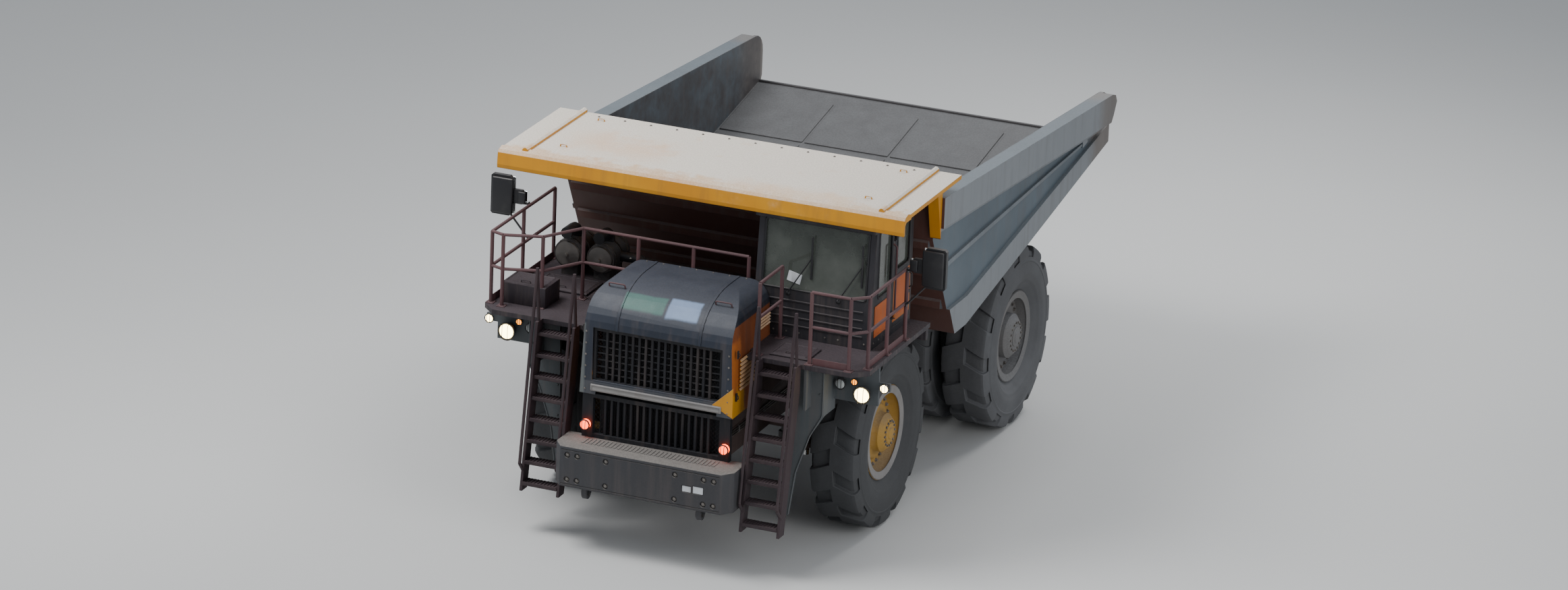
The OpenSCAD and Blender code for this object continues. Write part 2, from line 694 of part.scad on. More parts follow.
module knuckle_right() { mirror([1, 0, 0]) knuckle(); }

// Tie rod between the two track arms
module tie_rod() {
    y = front_axle_y + track_arm;
    color("#4c4a48") difference() {
        union() {
            bar_x(-kingpin_x, kingpin_x, y, link_z, 32);
            both() translate([kingpin_x, y, link_z - 40]) cylinder(h = 80, r = 62);
        }
        both() translate([kingpin_x, y, link_z - 80]) cylinder(h = 160, r = 30 + run_gap);
    }
}

// Steering cylinder: its pin on the frame, its eye's place, its unit direction
ram_base = [kingpin_x - 550, front_axle_y + 200];
ram_eye = [kingpin_x, front_axle_y - ram_arm];
ram_len = norm(ram_eye - ram_base);
ram_turn = atan2(ram_eye[1] - ram_base[1], ram_eye[0] - ram_base[0]);
module along_ram() {
    translate([ram_base[0], ram_base[1], ram_z]) rotate([0, 0, ram_turn]) children();
}
module steer_barrel() {
    color("#3f4043") along_ram() difference() {
        union() {
            cylinder(h = 84, r = 70, center = true);
            translate([40, 0, 0]) rotate([0, 90, 0]) cylinder(h = 450, r = 58);
            cylinder(h = link_z + 110 - ram_z, r = 35);
        }
        translate([160, 0, 0]) rotate([0, 90, 0]) cylinder(h = 400, r = 30 + run_gap);
    }
}
module steer_rod() {
    color("#a8a8a8") along_ram() {
        translate([330, 0, 0]) rotate([0, 90, 0]) cylinder(h = ram_len - 330, r = 30);
        translate([ram_len, 0, 0]) cylinder(h = 70, r = 55, center = true);
    }
}
module steer_barrel_left() { steer_barrel(); }
module steer_barrel_right() { mirror([1, 0, 0]) steer_barrel(); }
module steer_rod_left() { steer_rod(); }
module steer_rod_right() { mirror([1, 0, 0]) steer_rod(); }

// A tyre round the x axis with its middle at x = 0, its two rows of tread blocks cut by grooves
module tyre() {
    r = tyre_d / 2;
    s = rim_d / 2 + seat_gap;
    w = tyre_w / 2;
    base = r - lug_depth;
    // Half of the section: distance from the tyre's middle and radius
    half = [[bead_x, s], [w, (r + s) / 2 - 40], [w - 24, r - 90], [w - 90, r]];
    back = [for (i = [len(half) - 1 : -1 : 0]) [-half[i][0], half[i][1]]];
    groove_w = PI * tyre_d / lug_count * 0.36;
    rotate([0, 90, 0]) difference() {
        rotate_extrude($fn = 28) polygon([for (p = concat(half, back)) [p[1], p[0]]]);
        for (i = [0 : lug_count - 1], side = [0, 1])
            mirror([0, 0, side]) rotate([0, 0, (i + side / 2) * 360 / lug_count])
                translate([0, groove_w / 2, 0]) rotate([90, 0, 0]) linear_extrude(groove_w)
                    polygon([[base, 25], [r + 20, 25], [r + 20, w + 20], [r - 150, w + 20]]);
    }
}

// The band of a rim round the z axis with its two tapered flanges
module rim_band() {
    r = rim_d / 2;
    end = bead_x + seat_gap + flange_t;
    difference() {
        union() {
            cylinder(h = 2 * end, r = r, center = true);
            for (side = [0, 1])
                mirror([0, 0, side]) translate([0, 0, end - flange_t])
                    cylinder(h = flange_t, r1 = r, r2 = r + flange_h);
        }
        cylinder(h = 3 * end, r = r - rim_wall, center = true);
    }
}
module front_tyre() { color("#3a3736") translate([tyre_x, front_axle_y, axle_z]) tyre(); }
module front_rim() {
    disc_x = 60;
    hub_x = 330;
    color("#c8a02a") translate([tyre_x, front_axle_y, axle_z]) rotate([0, 90, 0]) difference() {
        union() {
            rim_band();
            translate([0, 0, disc_x - 30]) cylinder(h = 60, r = rim_d / 2 - rim_wall + 1);
            translate([0, 0, disc_x + 29]) cylinder(h = 60, r1 = 430, r2 = 370);
            translate([0, 0, -50]) cylinder(h = hub_x - 20, r = 280);
            translate([0, 0, hub_x - 71]) cylinder(h = 71, r1 = 280, r2 = 210);
        }
        translate([0, 0, -51]) cylinder(h = 270, r = spindle_r + run_gap);
    }
}
module rear_tyres() {
    color("#3a3736") for (x = [dual_in_x, dual_out_x]) translate([x, rear_axle_y, axle_z]) tyre();
}
module rear_rims() {
    disc_r = rim_d / 2 - rim_wall + 1;
    drum_x0 = dual_in_x - 250;
    color("#6d6459") translate([0, rear_axle_y, axle_z]) rotate([0, 90, 0]) difference() {
        union() {
            for (x = [dual_in_x, dual_out_x]) translate([0, 0, x]) rim_band();
            for (x = [dual_in_x + 100, dual_out_x + 40]) translate([0, 0, x]) cylinder(h = 60, r = disc_r);
            translate([0, 0, drum_x0]) cylinder(h = dual_out_x + 60 - drum_x0, r = 420);
            translate([0, 0, dual_out_x + 59]) cylinder(h = 180, r = 330);
            translate([0, 0, dual_out_x + 238]) cylinder(h = 72, r1 = 330, r2 = 240);
        }
        translate([0, 0, drum_x0 - 1]) cylinder(h = dual_out_x + 10 - drum_x0, r = axle_end_r + run_gap);
    }
}
module front_tyre_left() { front_tyre(); }
module front_tyre_right() { mirror([1, 0, 0]) front_tyre(); }
module front_rim_left() { front_rim(); }
module front_rim_right() { mirror([1, 0, 0]) front_rim(); }
module rear_tyres_left() { rear_tyres(); }
module rear_tyres_right() { mirror([1, 0, 0]) rear_tyres(); }
module rear_rims_left() { rear_rims(); }
module rear_rims_right() { mirror([1, 0, 0]) rear_rims(); }

// Outline of a bed side in y and z
function bed_outline() = concat(
    [[bed_bend_y, bed_bend_z], [bed_front_low_y, bed_low], [floor_kink_y, bed_low],
     [bed_tail - 60, floor_z(bed_tail - 60)]],
    [[bed_tail, floor_z(bed_tail) + 120]],
    arc([bed_tail - 300, top_z(bed_tail) - 300], 300, 300, 0, 90, 5),
    [[bed_front_top_y, bed_top_f]]);

// Dump bed: floor, two sides with their top rails and lower bands, and the front wall
module bed() {
    side_x = bed_side_x;
    skirt = 110;
    // Place of the upright that ends the recessed panel
    panel_end = bed_tail - 1150;
    rail_end = [for (p = [[210, 320], [110, 150], [170, 40], [300, 0]])
        [bed_tail - p[0], top_z(bed_tail) - p[1]]];
    function low_line(y, up) = [y, floor_z(y) + up];
    function rail_low_line(y, up) = [y, top_z(y) - rail_d + up];
    color("#7d868c") {
        both() plate_x(side_x - bed_wall, side_x, bed_outline());
        // Top rail: a box with a rounded tail and a skirt set in under it
        both() plate_x(side_x - 40, bed_hw, concat(
            [[bed_front_top_y, bed_top_f - rail_d + skirt], rail_low_line(bed_tail - 300, skirt)],
            rail_end, [[bed_front_top_y, bed_top_f]]));
        both() plate_x(side_x - 40, side_x + 60, [rail_low_line(bed_front_top_y, 0),
            rail_low_line(bed_tail - 420, 0), rail_low_line(bed_tail - 350, skirt + 10),
            rail_low_line(bed_front_top_y, skirt + 10)]);
        // Rib along the middle of the side and the upright at the end of the panel
        both() plate_x(side_x - 10, side_x + 35, [[wall_y(3540) + 20, 3540], [panel_end, 3760],
            [panel_end, 3800], [wall_y(3620) + 20, 3620]]);
        both() plate_x(side_x - 10, side_x + 45, [low_line(panel_end, band_d - 10),
            low_line(panel_end + 200, band_d - 10), rail_low_line(panel_end + 200, 10),
            rail_low_line(panel_end, 10)]);
        both() plate_x(side_x - 10, side_x + 50, [low_line(bed_front_low_y, 0),
            low_line(floor_kink_y, 0), low_line(bed_tail - 60, 0), low_line(bed_tail - 60, 280),
            low_line(floor_kink_y, band_d), low_line(wall_y(bed_low + band_d), band_d)]);
        // Floor
        plate_x(-side_x + 1, side_x - 1, [[bed_front_low_y, bed_low], [floor_kink_y, bed_low],
            [bed_tail - 60, floor_z(bed_tail - 60)], [bed_tail - 60, floor_z(bed_tail - 60) + bed_wall],
            [floor_kink_y, bed_low + bed_wall], [bed_front_low_y, bed_low + bed_wall]]);
        // Front wall with its stiffening channels
        plate_x(-side_x + 1, side_x - 1, [[bed_front_low_y, bed_low], [bed_front_low_y + bed_wall, bed_low],
            [bed_bend_y + bed_wall, bed_bend_z], [bed_front_top_y + bed_wall, bed_top_f],
            [bed_front_top_y, bed_top_f], [bed_bend_y, bed_bend_z]]);
        for (z = [2950, 3500, 4000])
            plate_x(-side_x + 60, side_x - 60, [[wall_y(z - 90) + 10, z - 90], [wall_y(z) - 70, z - 50],
                [wall_y(z) - 70, z + 50], [wall_y(z + 90) + 10, z + 90]]);
    }
}

// Canopy over the cab and the deck, with its folded front lip and raised ribs
module canopy() {
    top = canopy_low + canopy_t;
    rear_y = bed_front_top_y + 340;
    rib_x = canopy_hw - 420;
    // Height of the lower edge of the folded lip
    lip_low = cab_top - 30;
    color("#d9a016") {
        block([-canopy_hw, canopy_front + 90, canopy_low], [canopy_hw, rear_y, top]);
        plate_x(-canopy_hw, canopy_hw, [[canopy_front + 200, canopy_low - 20],
            [canopy_front + 20, canopy_low - 20], [canopy_front - 22, canopy_low - 60],
            [canopy_front - 22, lip_low], [canopy_front - 52, lip_low - 15],
            [canopy_front - 62, lip_low + 40], [canopy_front - 45, canopy_low + 20],
            [canopy_front - 10, top], [canopy_front + 90, top + 25], [canopy_front + 160, top]]);
        both() plate_y(canopy_front + 30, rear_y, [[rib_x, top - 10], [rib_x, top + 35],
            [rib_x + 25, canopy_top], [rib_x + 55, canopy_top], [rib_x + 80, top + 35],
            [rib_x + 80, top - 10]]);
        both() plate_x(bed_side_x - 30, bed_hw - 40, [[bed_front_top_y, bed_bend_z + 50],
            [bed_front_top_y, canopy_low + 10], [bed_front_top_y - 200, canopy_low + 10]]);
        block([-bed_side_x + 20, bed_front_top_y + 2, bed_top_f], [bed_side_x - 20, rear_y, canopy_low + 20]);
    }
}

// Long beams under the bed's floor, with the pivot lugs and hoist pins
module bed_beams() {
    lug_in = rail_out + 6;
    lug_out = rail_out + 110;
    // Point just under the floor at a place along the truck
    function under(y) = [y, floor_z(y) - seat_gap];
    color("#5b5254") {
        both() plate_x(rail_in + 10, rail_out - 10, [
            [bed_front_low_y + 80, beam_low], [pivot_y + 250, beam_low],
            under(bed_tail - 500), under(floor_kink_y), under(bed_front_low_y + 80)]);
        both() plate_x(rail_out - 12, lug_out, [[pivot_y - 300, beam_low + 30],
            [pivot_y + 350, beam_low + 60],
            under(pivot_y + 350), under(pivot_y - 300)]);
        both() plate_x(lug_in, lug_out, concat(
            arc([pivot_y, pivot_z], 130, 130, 180, 360, 10),
            [[pivot_y + 250, beam_low + 60], [pivot_y - 250, beam_low + 60]]));
        both() bar_x(rail_in - 5, lug_in + 5, pivot_y, pivot_z, pivot_r);
        both() bar_x(rail_out - 12, hoist_x - 66, hoist_up_y, hoist_up_z, 55);
        for (y = [300, 1700, 3300])
            plate_x(-2600, 2600, [[y - 90, floor_z(y - 90) - 130], [y + 90, floor_z(y + 90) - 130],
                under(y + 90), under(y - 90)]);
    }
}

// Hoist: lower pin, upper eye and its lean
hoist_len = norm([hoist_up_y - hoist_low_y, hoist_up_z - hoist_low_z]);
hoist_lean = atan2(hoist_up_y - hoist_low_y, hoist_up_z - hoist_low_z);
module along_hoist() {
    translate([hoist_x, hoist_low_y, hoist_low_z]) rotate([-hoist_lean, 0, 0]) children();
}
module hoist_barrel() {
    color("#5a5550") along_hoist() {
        difference() {
            union() {
                translate([0, 0, 90]) cylinder(h = hoist_len - 290, r = hoist_r);
                translate([0, 0, hoist_len - 250]) cylinder(h = 50, r = hoist_r + 14);
                bar_x(-70, 70, 0, 0, 110);
                translate([-70, -80, 0]) cube([140, 160, 110]);
            }
            bar_x(-80, 80, 0, 0, hoist_pin_r + run_gap);
            translate([0, 0, 140]) cylinder(h = hoist_len, r = 105 + run_gap);
        }
    }
}
module hoist_stage() {
    color("#a9a9a6") along_hoist() difference() {
        translate([0, 0, 160]) cylinder(h = hoist_len - 320, r = 105);
        translate([0, 0, 200]) cylinder(h = hoist_len, r = 75 + run_gap);
    }
}
module hoist_rod() {
    color("#b6b6b2") along_hoist() {
        translate([0, 0, 220]) cylinder(h = hoist_len - 290, r = 75);
        translate([0, 0, hoist_len]) bar_x(-60, 60, 0, 0, 95);
    }
}
module hoist_barrel_left() { hoist_barrel(); }
module hoist_barrel_right() { mirror([1, 0, 0]) hoist_barrel(); }
module hoist_stage_left() { hoist_stage(); }
module hoist_stage_right() { mirror([1, 0, 0]) hoist_stage(); }
module hoist_rod_left() { hoist_rod(); }
module hoist_rod_right() { mirror([1, 0, 0]) hoist_rod(); }

frame();
bumper();
powertrain();
hood();
grilles();
deck();
fenders();
stairs();
handrails();
headlamps();
marker_lamps();
cab_shell();
cab_roof();
cab_glass();
cab_interior();
cab_door();
door_glass();
mirrors();
air_cleaners();
tanks();
struts();
rear_axle();
knuckle_left();
knuckle_right();
tie_rod();
steer_barrel_left();
steer_barrel_right();
steer_rod_left();
steer_rod_right();
front_tyre_left();
front_tyre_right();
front_rim_left();
front_rim_right();
rear_tyres_left();
rear_tyres_right();
rear_rims_left();
rear_rims_right();
bed();
canopy();
bed_beams();
hoist_barrel_left();
hoist_barrel_right();
hoist_stage_left();
hoist_stage_right();
hoist_rod_left();
hoist_rod_right();
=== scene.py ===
"""Looks of a mining dump truck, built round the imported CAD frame.

Every piece is modelled in metres where the CAD says, and rides on a CAD body by name.
The truck faces -Y, its left-hand side is +X and the ground is at Z = 0.
"""

import json
import logging
import math
from collections.abc import Callable, Iterable, Iterator, Sequence
from contextlib import contextmanager
from dataclasses import dataclass
from enum import Enum
from functools import reduce
from operator import mul

import bmesh
import bpy
from mathutils import Matrix, Vector

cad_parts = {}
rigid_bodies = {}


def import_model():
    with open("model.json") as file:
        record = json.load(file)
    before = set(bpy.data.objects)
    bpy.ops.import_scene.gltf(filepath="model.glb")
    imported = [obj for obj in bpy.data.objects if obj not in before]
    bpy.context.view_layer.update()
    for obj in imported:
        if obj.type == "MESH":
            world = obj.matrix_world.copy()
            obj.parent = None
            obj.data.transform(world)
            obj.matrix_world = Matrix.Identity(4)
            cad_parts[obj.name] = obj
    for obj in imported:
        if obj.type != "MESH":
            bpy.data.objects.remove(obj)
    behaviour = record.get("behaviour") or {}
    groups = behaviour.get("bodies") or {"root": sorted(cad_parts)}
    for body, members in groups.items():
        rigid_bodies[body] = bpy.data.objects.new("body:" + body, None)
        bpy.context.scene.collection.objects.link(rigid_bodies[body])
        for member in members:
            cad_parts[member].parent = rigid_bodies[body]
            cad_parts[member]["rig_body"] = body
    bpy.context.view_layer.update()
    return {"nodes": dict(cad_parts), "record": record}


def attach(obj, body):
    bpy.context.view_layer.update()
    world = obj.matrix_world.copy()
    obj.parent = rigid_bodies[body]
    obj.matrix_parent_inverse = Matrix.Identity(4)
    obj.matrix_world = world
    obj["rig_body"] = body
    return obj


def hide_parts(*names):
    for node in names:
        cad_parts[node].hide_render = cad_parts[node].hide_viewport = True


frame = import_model()
LOG = logging.getLogger("truck")
Colour = tuple[float, float, float]
Point = Sequence[float]
FULL_TURN = 2 * math.pi
MERGE = 1e-5
WASHER = 1.35


class Way(Enum):
    """The ways that a piece can look, each as the turn that brings +Z there: an axis and degrees."""

    LEFT = ("Y", 90)
    RIGHT = ("Y", -90)
    FRONT = ("X", 90)
    BACK = ("X", -90)
    UP = ("Z", 0)
    DOWN = ("X", 180)

    @property
    def turn(self) -> Matrix:
        """The turn as a matrix."""
        axis, degrees = self.value
        return Matrix.Rotation(math.radians(degrees), 4, axis)


class Side(Enum):
    """The two sides of the truck, with the sign of their X."""

    LEFT = 1
    RIGHT = -1

    @property
    def word(self) -> str:
        """The side's word in the names of bodies and nodes."""
        return self.name.lower()

    @property
    def way(self) -> Way:
        """The way out on this side."""
        return Way[self.name]

    @property
    def mirror(self) -> Matrix:
        """The move that brings a left-hand piece to this side."""
        return Matrix.Scale(self.value, 4, (1, 0, 0))


class Part(Enum):
    """What is picked in edit mode, by the name of its list in a mesh."""

    FACE = "faces"
    EDGE = "edges"
    VERT = "verts"

    def facts(self, item: object) -> tuple[Vector, ...]:
        """What a test is told: a face's centre and normal, an edge's two ends or a point's place."""
        if self is Part.FACE:
            return item.calc_center_median(), item.normal
        return tuple(point.co for point in item.verts) if self is Part.EDGE else (item.co,)


# Shader graphs


class Signal:
    """A number socket whose arithmetic adds Math nodes."""

    def __init__(self, graph: "Graph", socket: bpy.types.NodeSocket) -> None:
        """Wraps one output of a node in the graph."""
        self.graph = graph
        self.socket = socket

    def _math(self, operation: str, *values: "Signal | float") -> "Signal":
        """Adds one Math node on signals or plain numbers."""
        return self.graph.number("ShaderNodeMath", {"operation": operation}, dict(enumerate(values)))

    def __add__(self, other: "Signal | float") -> "Signal":
        """self + other."""
        return self._math("ADD", self, other)

    def __radd__(self, other: float) -> "Signal":
        """other + self."""
        return self._math("ADD", other, self)

    def __sub__(self, other: "Signal | float") -> "Signal":
        """self - other."""
        return self._math("SUBTRACT", self, other)

    def __rsub__(self, other: float) -> "Signal":
        """other - self."""
        return self._math("SUBTRACT", other, self)

    def __mul__(self, other: "Signal | float") -> "Signal":
        """self * other."""
        return self._math("MULTIPLY", self, other)

    def __neg__(self) -> "Signal":
        """-self."""
        return self._math("MULTIPLY", self, -1.0)

    def __abs__(self) -> "Signal":
        """The size of the number without its sign."""
        return self._math("ABSOLUTE", self)

    def clamp(self) -> "Signal":
        """The number held between 0 and 1."""
        return self._math("MINIMUM", self._math("MAXIMUM", self, 0.0), 1.0)

    def step(self, low: float, high: float) -> "Signal":
        """A smooth rise from 0 at low to 1 at high, or a fall where high is under low."""
        inputs = {"Value": self, "From Min": low, "From Max": high}
        return self.graph.number("ShaderNodeMapRange", {"interpolation_type": "SMOOTHSTEP"}, inputs)


class Graph:
    """A new material and the nodes that are added to it."""

    def __init__(self, name: str) -> None:
        """Makes the material, and the coordinates that its nodes read."""
        self.material = bpy.data.materials.new(name)
        self.material.use_nodes = True
        self.nodes = self.material.node_tree.nodes
        self.links = self.material.node_tree.links
        self.nodes.clear()
        coordinates = self.nodes.new("ShaderNodeTexCoord")
        self.place = coordinates.outputs["Object"]
        self.facing = coordinates.outputs["Normal"]

    def add(self, kind: str, settings: dict | None = None, inputs: dict | None = None) -> bpy.types.Node:
        """Adds a node, sets its settings and then its inputs.

        Args:
            kind: the node's type.
            settings: its properties.
            inputs: values, sockets or signals by input name or number.

        Returns:
            The node.
        """
        node = self.nodes.new(kind)
        for key, value in (settings or {}).items():
            setattr(node, key, value)
        for key, value in (inputs or {}).items():
            socket = node.inputs[key]
            if isinstance(value, Signal):
                value = value.socket
            if isinstance(value, bpy.types.NodeSocket):
                self.links.new(value, socket)
            elif isinstance(value, tuple) and len(value) == 3 and socket.type == "RGBA":
                socket.default_value = (*value, 1.0)
            else:
                socket.default_value = value
        return node

    def number(self, kind: str, settings: dict | None, inputs: dict | None, out: int | str = 0) -> Signal:
        """Adds a node and wraps one of its number outputs.

        Args:
            kind: the node's type.
            settings: its properties.
            inputs: its inputs.
            out: the output's name or number.

        Returns:
            The output as a signal.
        """
        return Signal(self, self.add(kind, settings, inputs).outputs[out])

    def noise(self, scale: float, detail: float = 3.0, stretch: Point = (1, 1, 1), rough: float = 0.55) -> Signal:
        """Noise over the object's own coordinates.

        Args:
            scale: size of the pattern, in cells a metre.
            detail: octaves.
            stretch: scale of each axis, to draw the pattern out.
            rough: how much the finer octaves count.

        Returns:
            The noise, round 0.5.
        """
        place = self.add("ShaderNodeMapping", None, {"Vector": self.place, "Scale": tuple(stretch)})
        inputs = {"Vector": place.outputs[0], "Scale": scale, "Detail": detail, "Roughness": rough}
        return self.number("ShaderNodeTexNoise", None, inputs)

    def axes(self, socket: bpy.types.NodeSocket) -> tuple[Signal, Signal, Signal]:
        """Splits a vector into its three numbers."""
        node = self.add("ShaderNodeSeparateXYZ", None, {"Vector": socket})
        return tuple(Signal(self, out) for out in node.outputs)

    def mix(self, factor: Signal | float, a: object, b: object) -> bpy.types.NodeSocket:
        """Mixes two colours: a factor of 0 gives the first and 1 the second."""
        return self.add("ShaderNodeMix", {"data_type": "RGBA"}, {0: factor, 6: a, 7: b}).outputs[2]

    def finish(self, inputs: dict, bump: dict | None = None) -> bpy.types.Material:
        """Adds the shader and joins it to the output.

        Args:
            inputs: the shader's inputs.
            bump: inputs of the Bump node that feeds its normal, if it has one.

        Returns:
            The material.
        """
        if bump:
            inputs["Normal"] = self.add("ShaderNodeBump", None, bump).outputs[0]
        shader = self.add("ShaderNodeBsdfPrincipled", None, inputs)
        self.add("ShaderNodeOutputMaterial", None, {"Surface": shader.outputs[0]})
        return self.material


def darker(colour: Colour, share: float) -> Colour:
    """A colour times a number."""
    return tuple(part * share for part in colour)


class Lane(Enum):
    """What a zone of colour is measured along."""

    X = "x"
    Y = "y"
    Z = "z"
    SIDE = "distance from the centre line"
    UP = "how far the face looks up"
    FRONT = "how far the face looks forward"
    OUT = "how far the face looks to the side"


@dataclass(frozen=True)
class Zone:
    """A part of a surface with a colour of its own, or with a painted highlight or painted shade: where every lane is
    between its limits.
    """

    colour: Colour
    limits: tuple[tuple[Lane, float, float], ...]
    soft: float = 0.01
    ragged: float = 0.0


@dataclass(frozen=True)
class Paint:
    """Painted plate that has worked outdoors: faded, streaked, chipped at its edges and dusty."""

    name: str
    colour: Colour
    shade: Colour
    dust: Colour
    dust_top: float
    dust_low: float
    rough: float = 0.55
    chips: float = 0.35
    bare: Colour = (0.16, 0.12, 0.10)
    grain: float = 0.25
    plate: float = 0.0
    edge: float = 0.012
    zones: tuple[Zone, ...] = ()

    def zoned(self, g: Graph, colour: bpy.types.NodeSocket, patch: Signal, lanes: dict[Lane, Signal]
              ) -> bpy.types.NodeSocket:
        """Lays the zones over a colour.

        Args:
            g: the material's graph.
            colour: the colour under them.
            patch: the noise that makes their edges ragged.
            lanes: the number of each lane.

        Returns:
            The colour with its zones.
        """
        for zone in self.zones:
            masks = []
            for lane, low, high in zone.limits:
                place = lanes[lane] + (patch - 0.5) * zone.ragged if zone.ragged else lanes[lane]
                masks.append(place.step(low - zone.soft, low + zone.soft)
                             * place.step(high + zone.soft, high - zone.soft))
            colour = g.mix(reduce(mul, masks), colour, zone.colour)
        return colour

    def material(self) -> bpy.types.Material:
        """Builds the node graph and returns the material."""
        g = Graph(self.name)
        (x, y, z), (nx, ny, nz) = g.axes(g.place), g.axes(g.facing)
        lanes = {Lane.X: x, Lane.Y: y, Lane.Z: z, Lane.SIDE: abs(x), Lane.UP: nz, Lane.FRONT: -ny, Lane.OUT: abs(nx)}
        broad, patch = g.noise(0.7, 4), g.noise(3.5, 6, rough=0.62)
        grit, streak = g.noise(45, 4), g.noise(5.5, 4, (1.4, 1.4, 0.12))
        colour = self.zoned(g, g.mix(broad.step(0.3, 0.7), self.colour, self.shade), patch, lanes)
        fade = (streak.step(0.45, 0.75) * (1 - abs(nz))).clamp() * 0.45
        colour = g.mix(fade, colour, g.mix(0.6, colour, self.bare))
        rounded = g.add("ShaderNodeBevel", {"samples": 4}, {"Radius": self.edge}).outputs[0]
        flat = g.add("ShaderNodeNewGeometry").outputs["Normal"]
        dot = g.number("ShaderNodeVectorMath", {"operation": "DOT_PRODUCT"}, {0: rounded, 1: flat}, "Value")
        chipped = ((1 - dot).step(0.02, 0.16) * patch.step(0.42, 0.62) * self.chips
                   + patch.step(0.70, 0.78) * grit.step(0.45, 0.6) * self.chips * 0.6).clamp()
        colour = g.mix(chipped, colour, self.bare)
        settled = nz.step(0.15, 0.9) * self.dust_top * (0.55 + patch * 0.9)
        thrown = z.step(3.4, 0.2) * self.dust_low * (0.4 + broad * 1.2)
        dusty = (settled + thrown + (grit - 0.5) * 0.25 * self.dust_low).clamp()
        colour = g.mix(dusty, colour, g.mix(grit.step(0.3, 0.7), self.dust, darker(self.dust, 0.72)))
        rough = (self.rough + dusty * 0.35 + (patch - 0.5) * 0.2 + chipped * 0.15).clamp()
        height = grit * self.grain * 0.5 + patch * 0.9 + streak * 0.2 - chipped * 0.6
        if self.plate:
            turned = {"Vector": g.place, "Rotation": (0, 0, math.pi / 4), "Scale": (1, 2.2, 0.2)}
            lozenge = {"Vector": g.add("ShaderNodeMapping", None, turned).outputs[0], "Scale": self.plate}
            cells = g.number("ShaderNodeTexVoronoi", {"distance": "CHEBYCHEV"}, lozenge)
            height = height + cells.step(0.42, 0.2) * 1.5
        return g.finish({"Base Color": colour, "Roughness": rough, "Specular IOR Level": 0.35},
                        {"Strength": 0.5, "Distance": 0.004, "Height": height, "Normal": rounded})


@dataclass(frozen=True)
class Rubber:
    """Tyre rubber, cleaner at the tread's edges and caked with pale dust on the walls."""

    name: str
    colour: Colour
    dust: Colour
    amount: float

    def material(self) -> bpy.types.Material:
        """Builds the node graph and returns the material."""
        g = Graph(self.name)
        z, (nx, _, nz) = g.axes(g.place)[2], g.axes(g.facing)
        patch, grit, scuff = g.noise(2.2, 6, rough=0.65), g.noise(55, 4), g.noise(9, 5, rough=0.7)
        caked = (abs(nx).step(0.2, 0.9) * 0.45 + nz.step(-0.2, 0.9) * 0.35 + z.step(2.4, 0.0) * 0.35) * self.amount
        dusty = (caked * (0.35 + patch * 1.3) + (grit - 0.5) * 0.3).clamp()
        colour = g.mix(dusty, g.mix(scuff, self.colour, darker(self.colour, 1.8)), self.dust)
        return g.finish(
            {"Base Color": colour, "Roughness": (0.72 + dusty * 0.22).clamp(), "Specular IOR Level": 0.3},
            {"Strength": 0.55, "Distance": 0.005, "Height": grit * 0.4 + scuff * 0.8})


@dataclass(frozen=True)
class Pane:
    """Tinted window glass with a film of dust."""

    name: str
    tint: Colour
    dust: Colour
    clear: float

    def material(self) -> bpy.types.Material:
        """Builds the node graph and returns the material."""
        g = Graph(self.name)
        film, speck, z = g.noise(2.4, 5, rough=0.6), g.noise(60, 3), g.axes(g.place)[2]
        dusty = (film.step(0.35, 0.75) * 0.35 + speck.step(0.55, 0.75) * 0.06 + z.step(4.0, 3.6) * 0.2).clamp()
        return g.finish({"Base Color": g.mix(dusty, self.tint, self.dust), "Roughness": 0.06 + dusty * 0.6,
                         "Alpha": (self.clear + dusty * 0.6).clamp()})


@dataclass(frozen=True)
class Lit:
    """A lit lamp lens: bright in its middle, with a prismed, dusty edge."""

    name: str
    colour: Colour
    glow: float

    def material(self) -> bpy.types.Material:
        """Builds the node graph and returns the material."""
        g = Graph(self.name)
        ribs = g.number("ShaderNodeTexWave", {"bands_direction": "X"}, {"Vector": g.place, "Scale": 16.0})
        speck = g.noise(70, 3)
        light = g.mix(ribs * 0.35 + speck * 0.2, self.colour, darker(self.colour, 0.62))
        return g.finish({"Base Color": light, "Roughness": 0.12 + speck * 0.2, "Emission Color": light,
                         "Emission Strength": self.glow}, {"Strength": 0.3, "Distance": 0.003, "Height": ribs})


@dataclass(frozen=True)
class Steel:
    """Ground or bare steel with fine rings and oil smears."""

    name: str
    colour: Colour = (0.56, 0.56, 0.55)
    rough: float = 0.22
    dust: float = 0.25

    def material(self) -> bpy.types.Material:
        """Builds the node graph and returns the material."""
        g = Graph(self.name)
        smear, grit, ring = g.noise(4, 5, rough=0.6), g.noise(60, 3), g.noise(14, 3, (1, 1, 9))
        dusty = (smear.step(0.4, 0.75) * self.dust + grit.step(0.55, 0.8) * self.dust * 0.6).clamp()
        return g.finish({"Base Color": g.mix(dusty, self.colour, (0.27, 0.24, 0.22)), "Metallic": 1 - dusty * 0.9,
                         "Roughness": self.rough + dusty * 0.5},
                        {"Strength": 0.15, "Distance": 0.001, "Height": ring})


@dataclass(frozen=True)
class Moulded:
    """Moulded plastic or rubber trim with a fine grain and a little dust."""

    name: str
    colour: Colour
    rough: float
    dust: float = 0.3
    cells: float = 160.0

    def material(self) -> bpy.types.Material:
        """Builds the node graph and returns the material."""
        g = Graph(self.name)
        patch, nz = g.noise(4, 4), g.axes(g.facing)[2]
        grain = g.number("ShaderNodeTexVoronoi", None, {"Vector": g.place, "Scale": self.cells})
        dusty = (nz.step(0.1, 0.9) * self.dust * (0.5 + patch) + patch.step(0.5, 0.8) * self.dust * 0.4).clamp()
        return g.finish({"Base Color": g.mix(dusty, self.colour, (0.24, 0.22, 0.21)),
                         "Roughness": (self.rough + dusty * 0.3).clamp()},
                        {"Strength": 0.25, "Distance": 0.0015, "Height": grain})


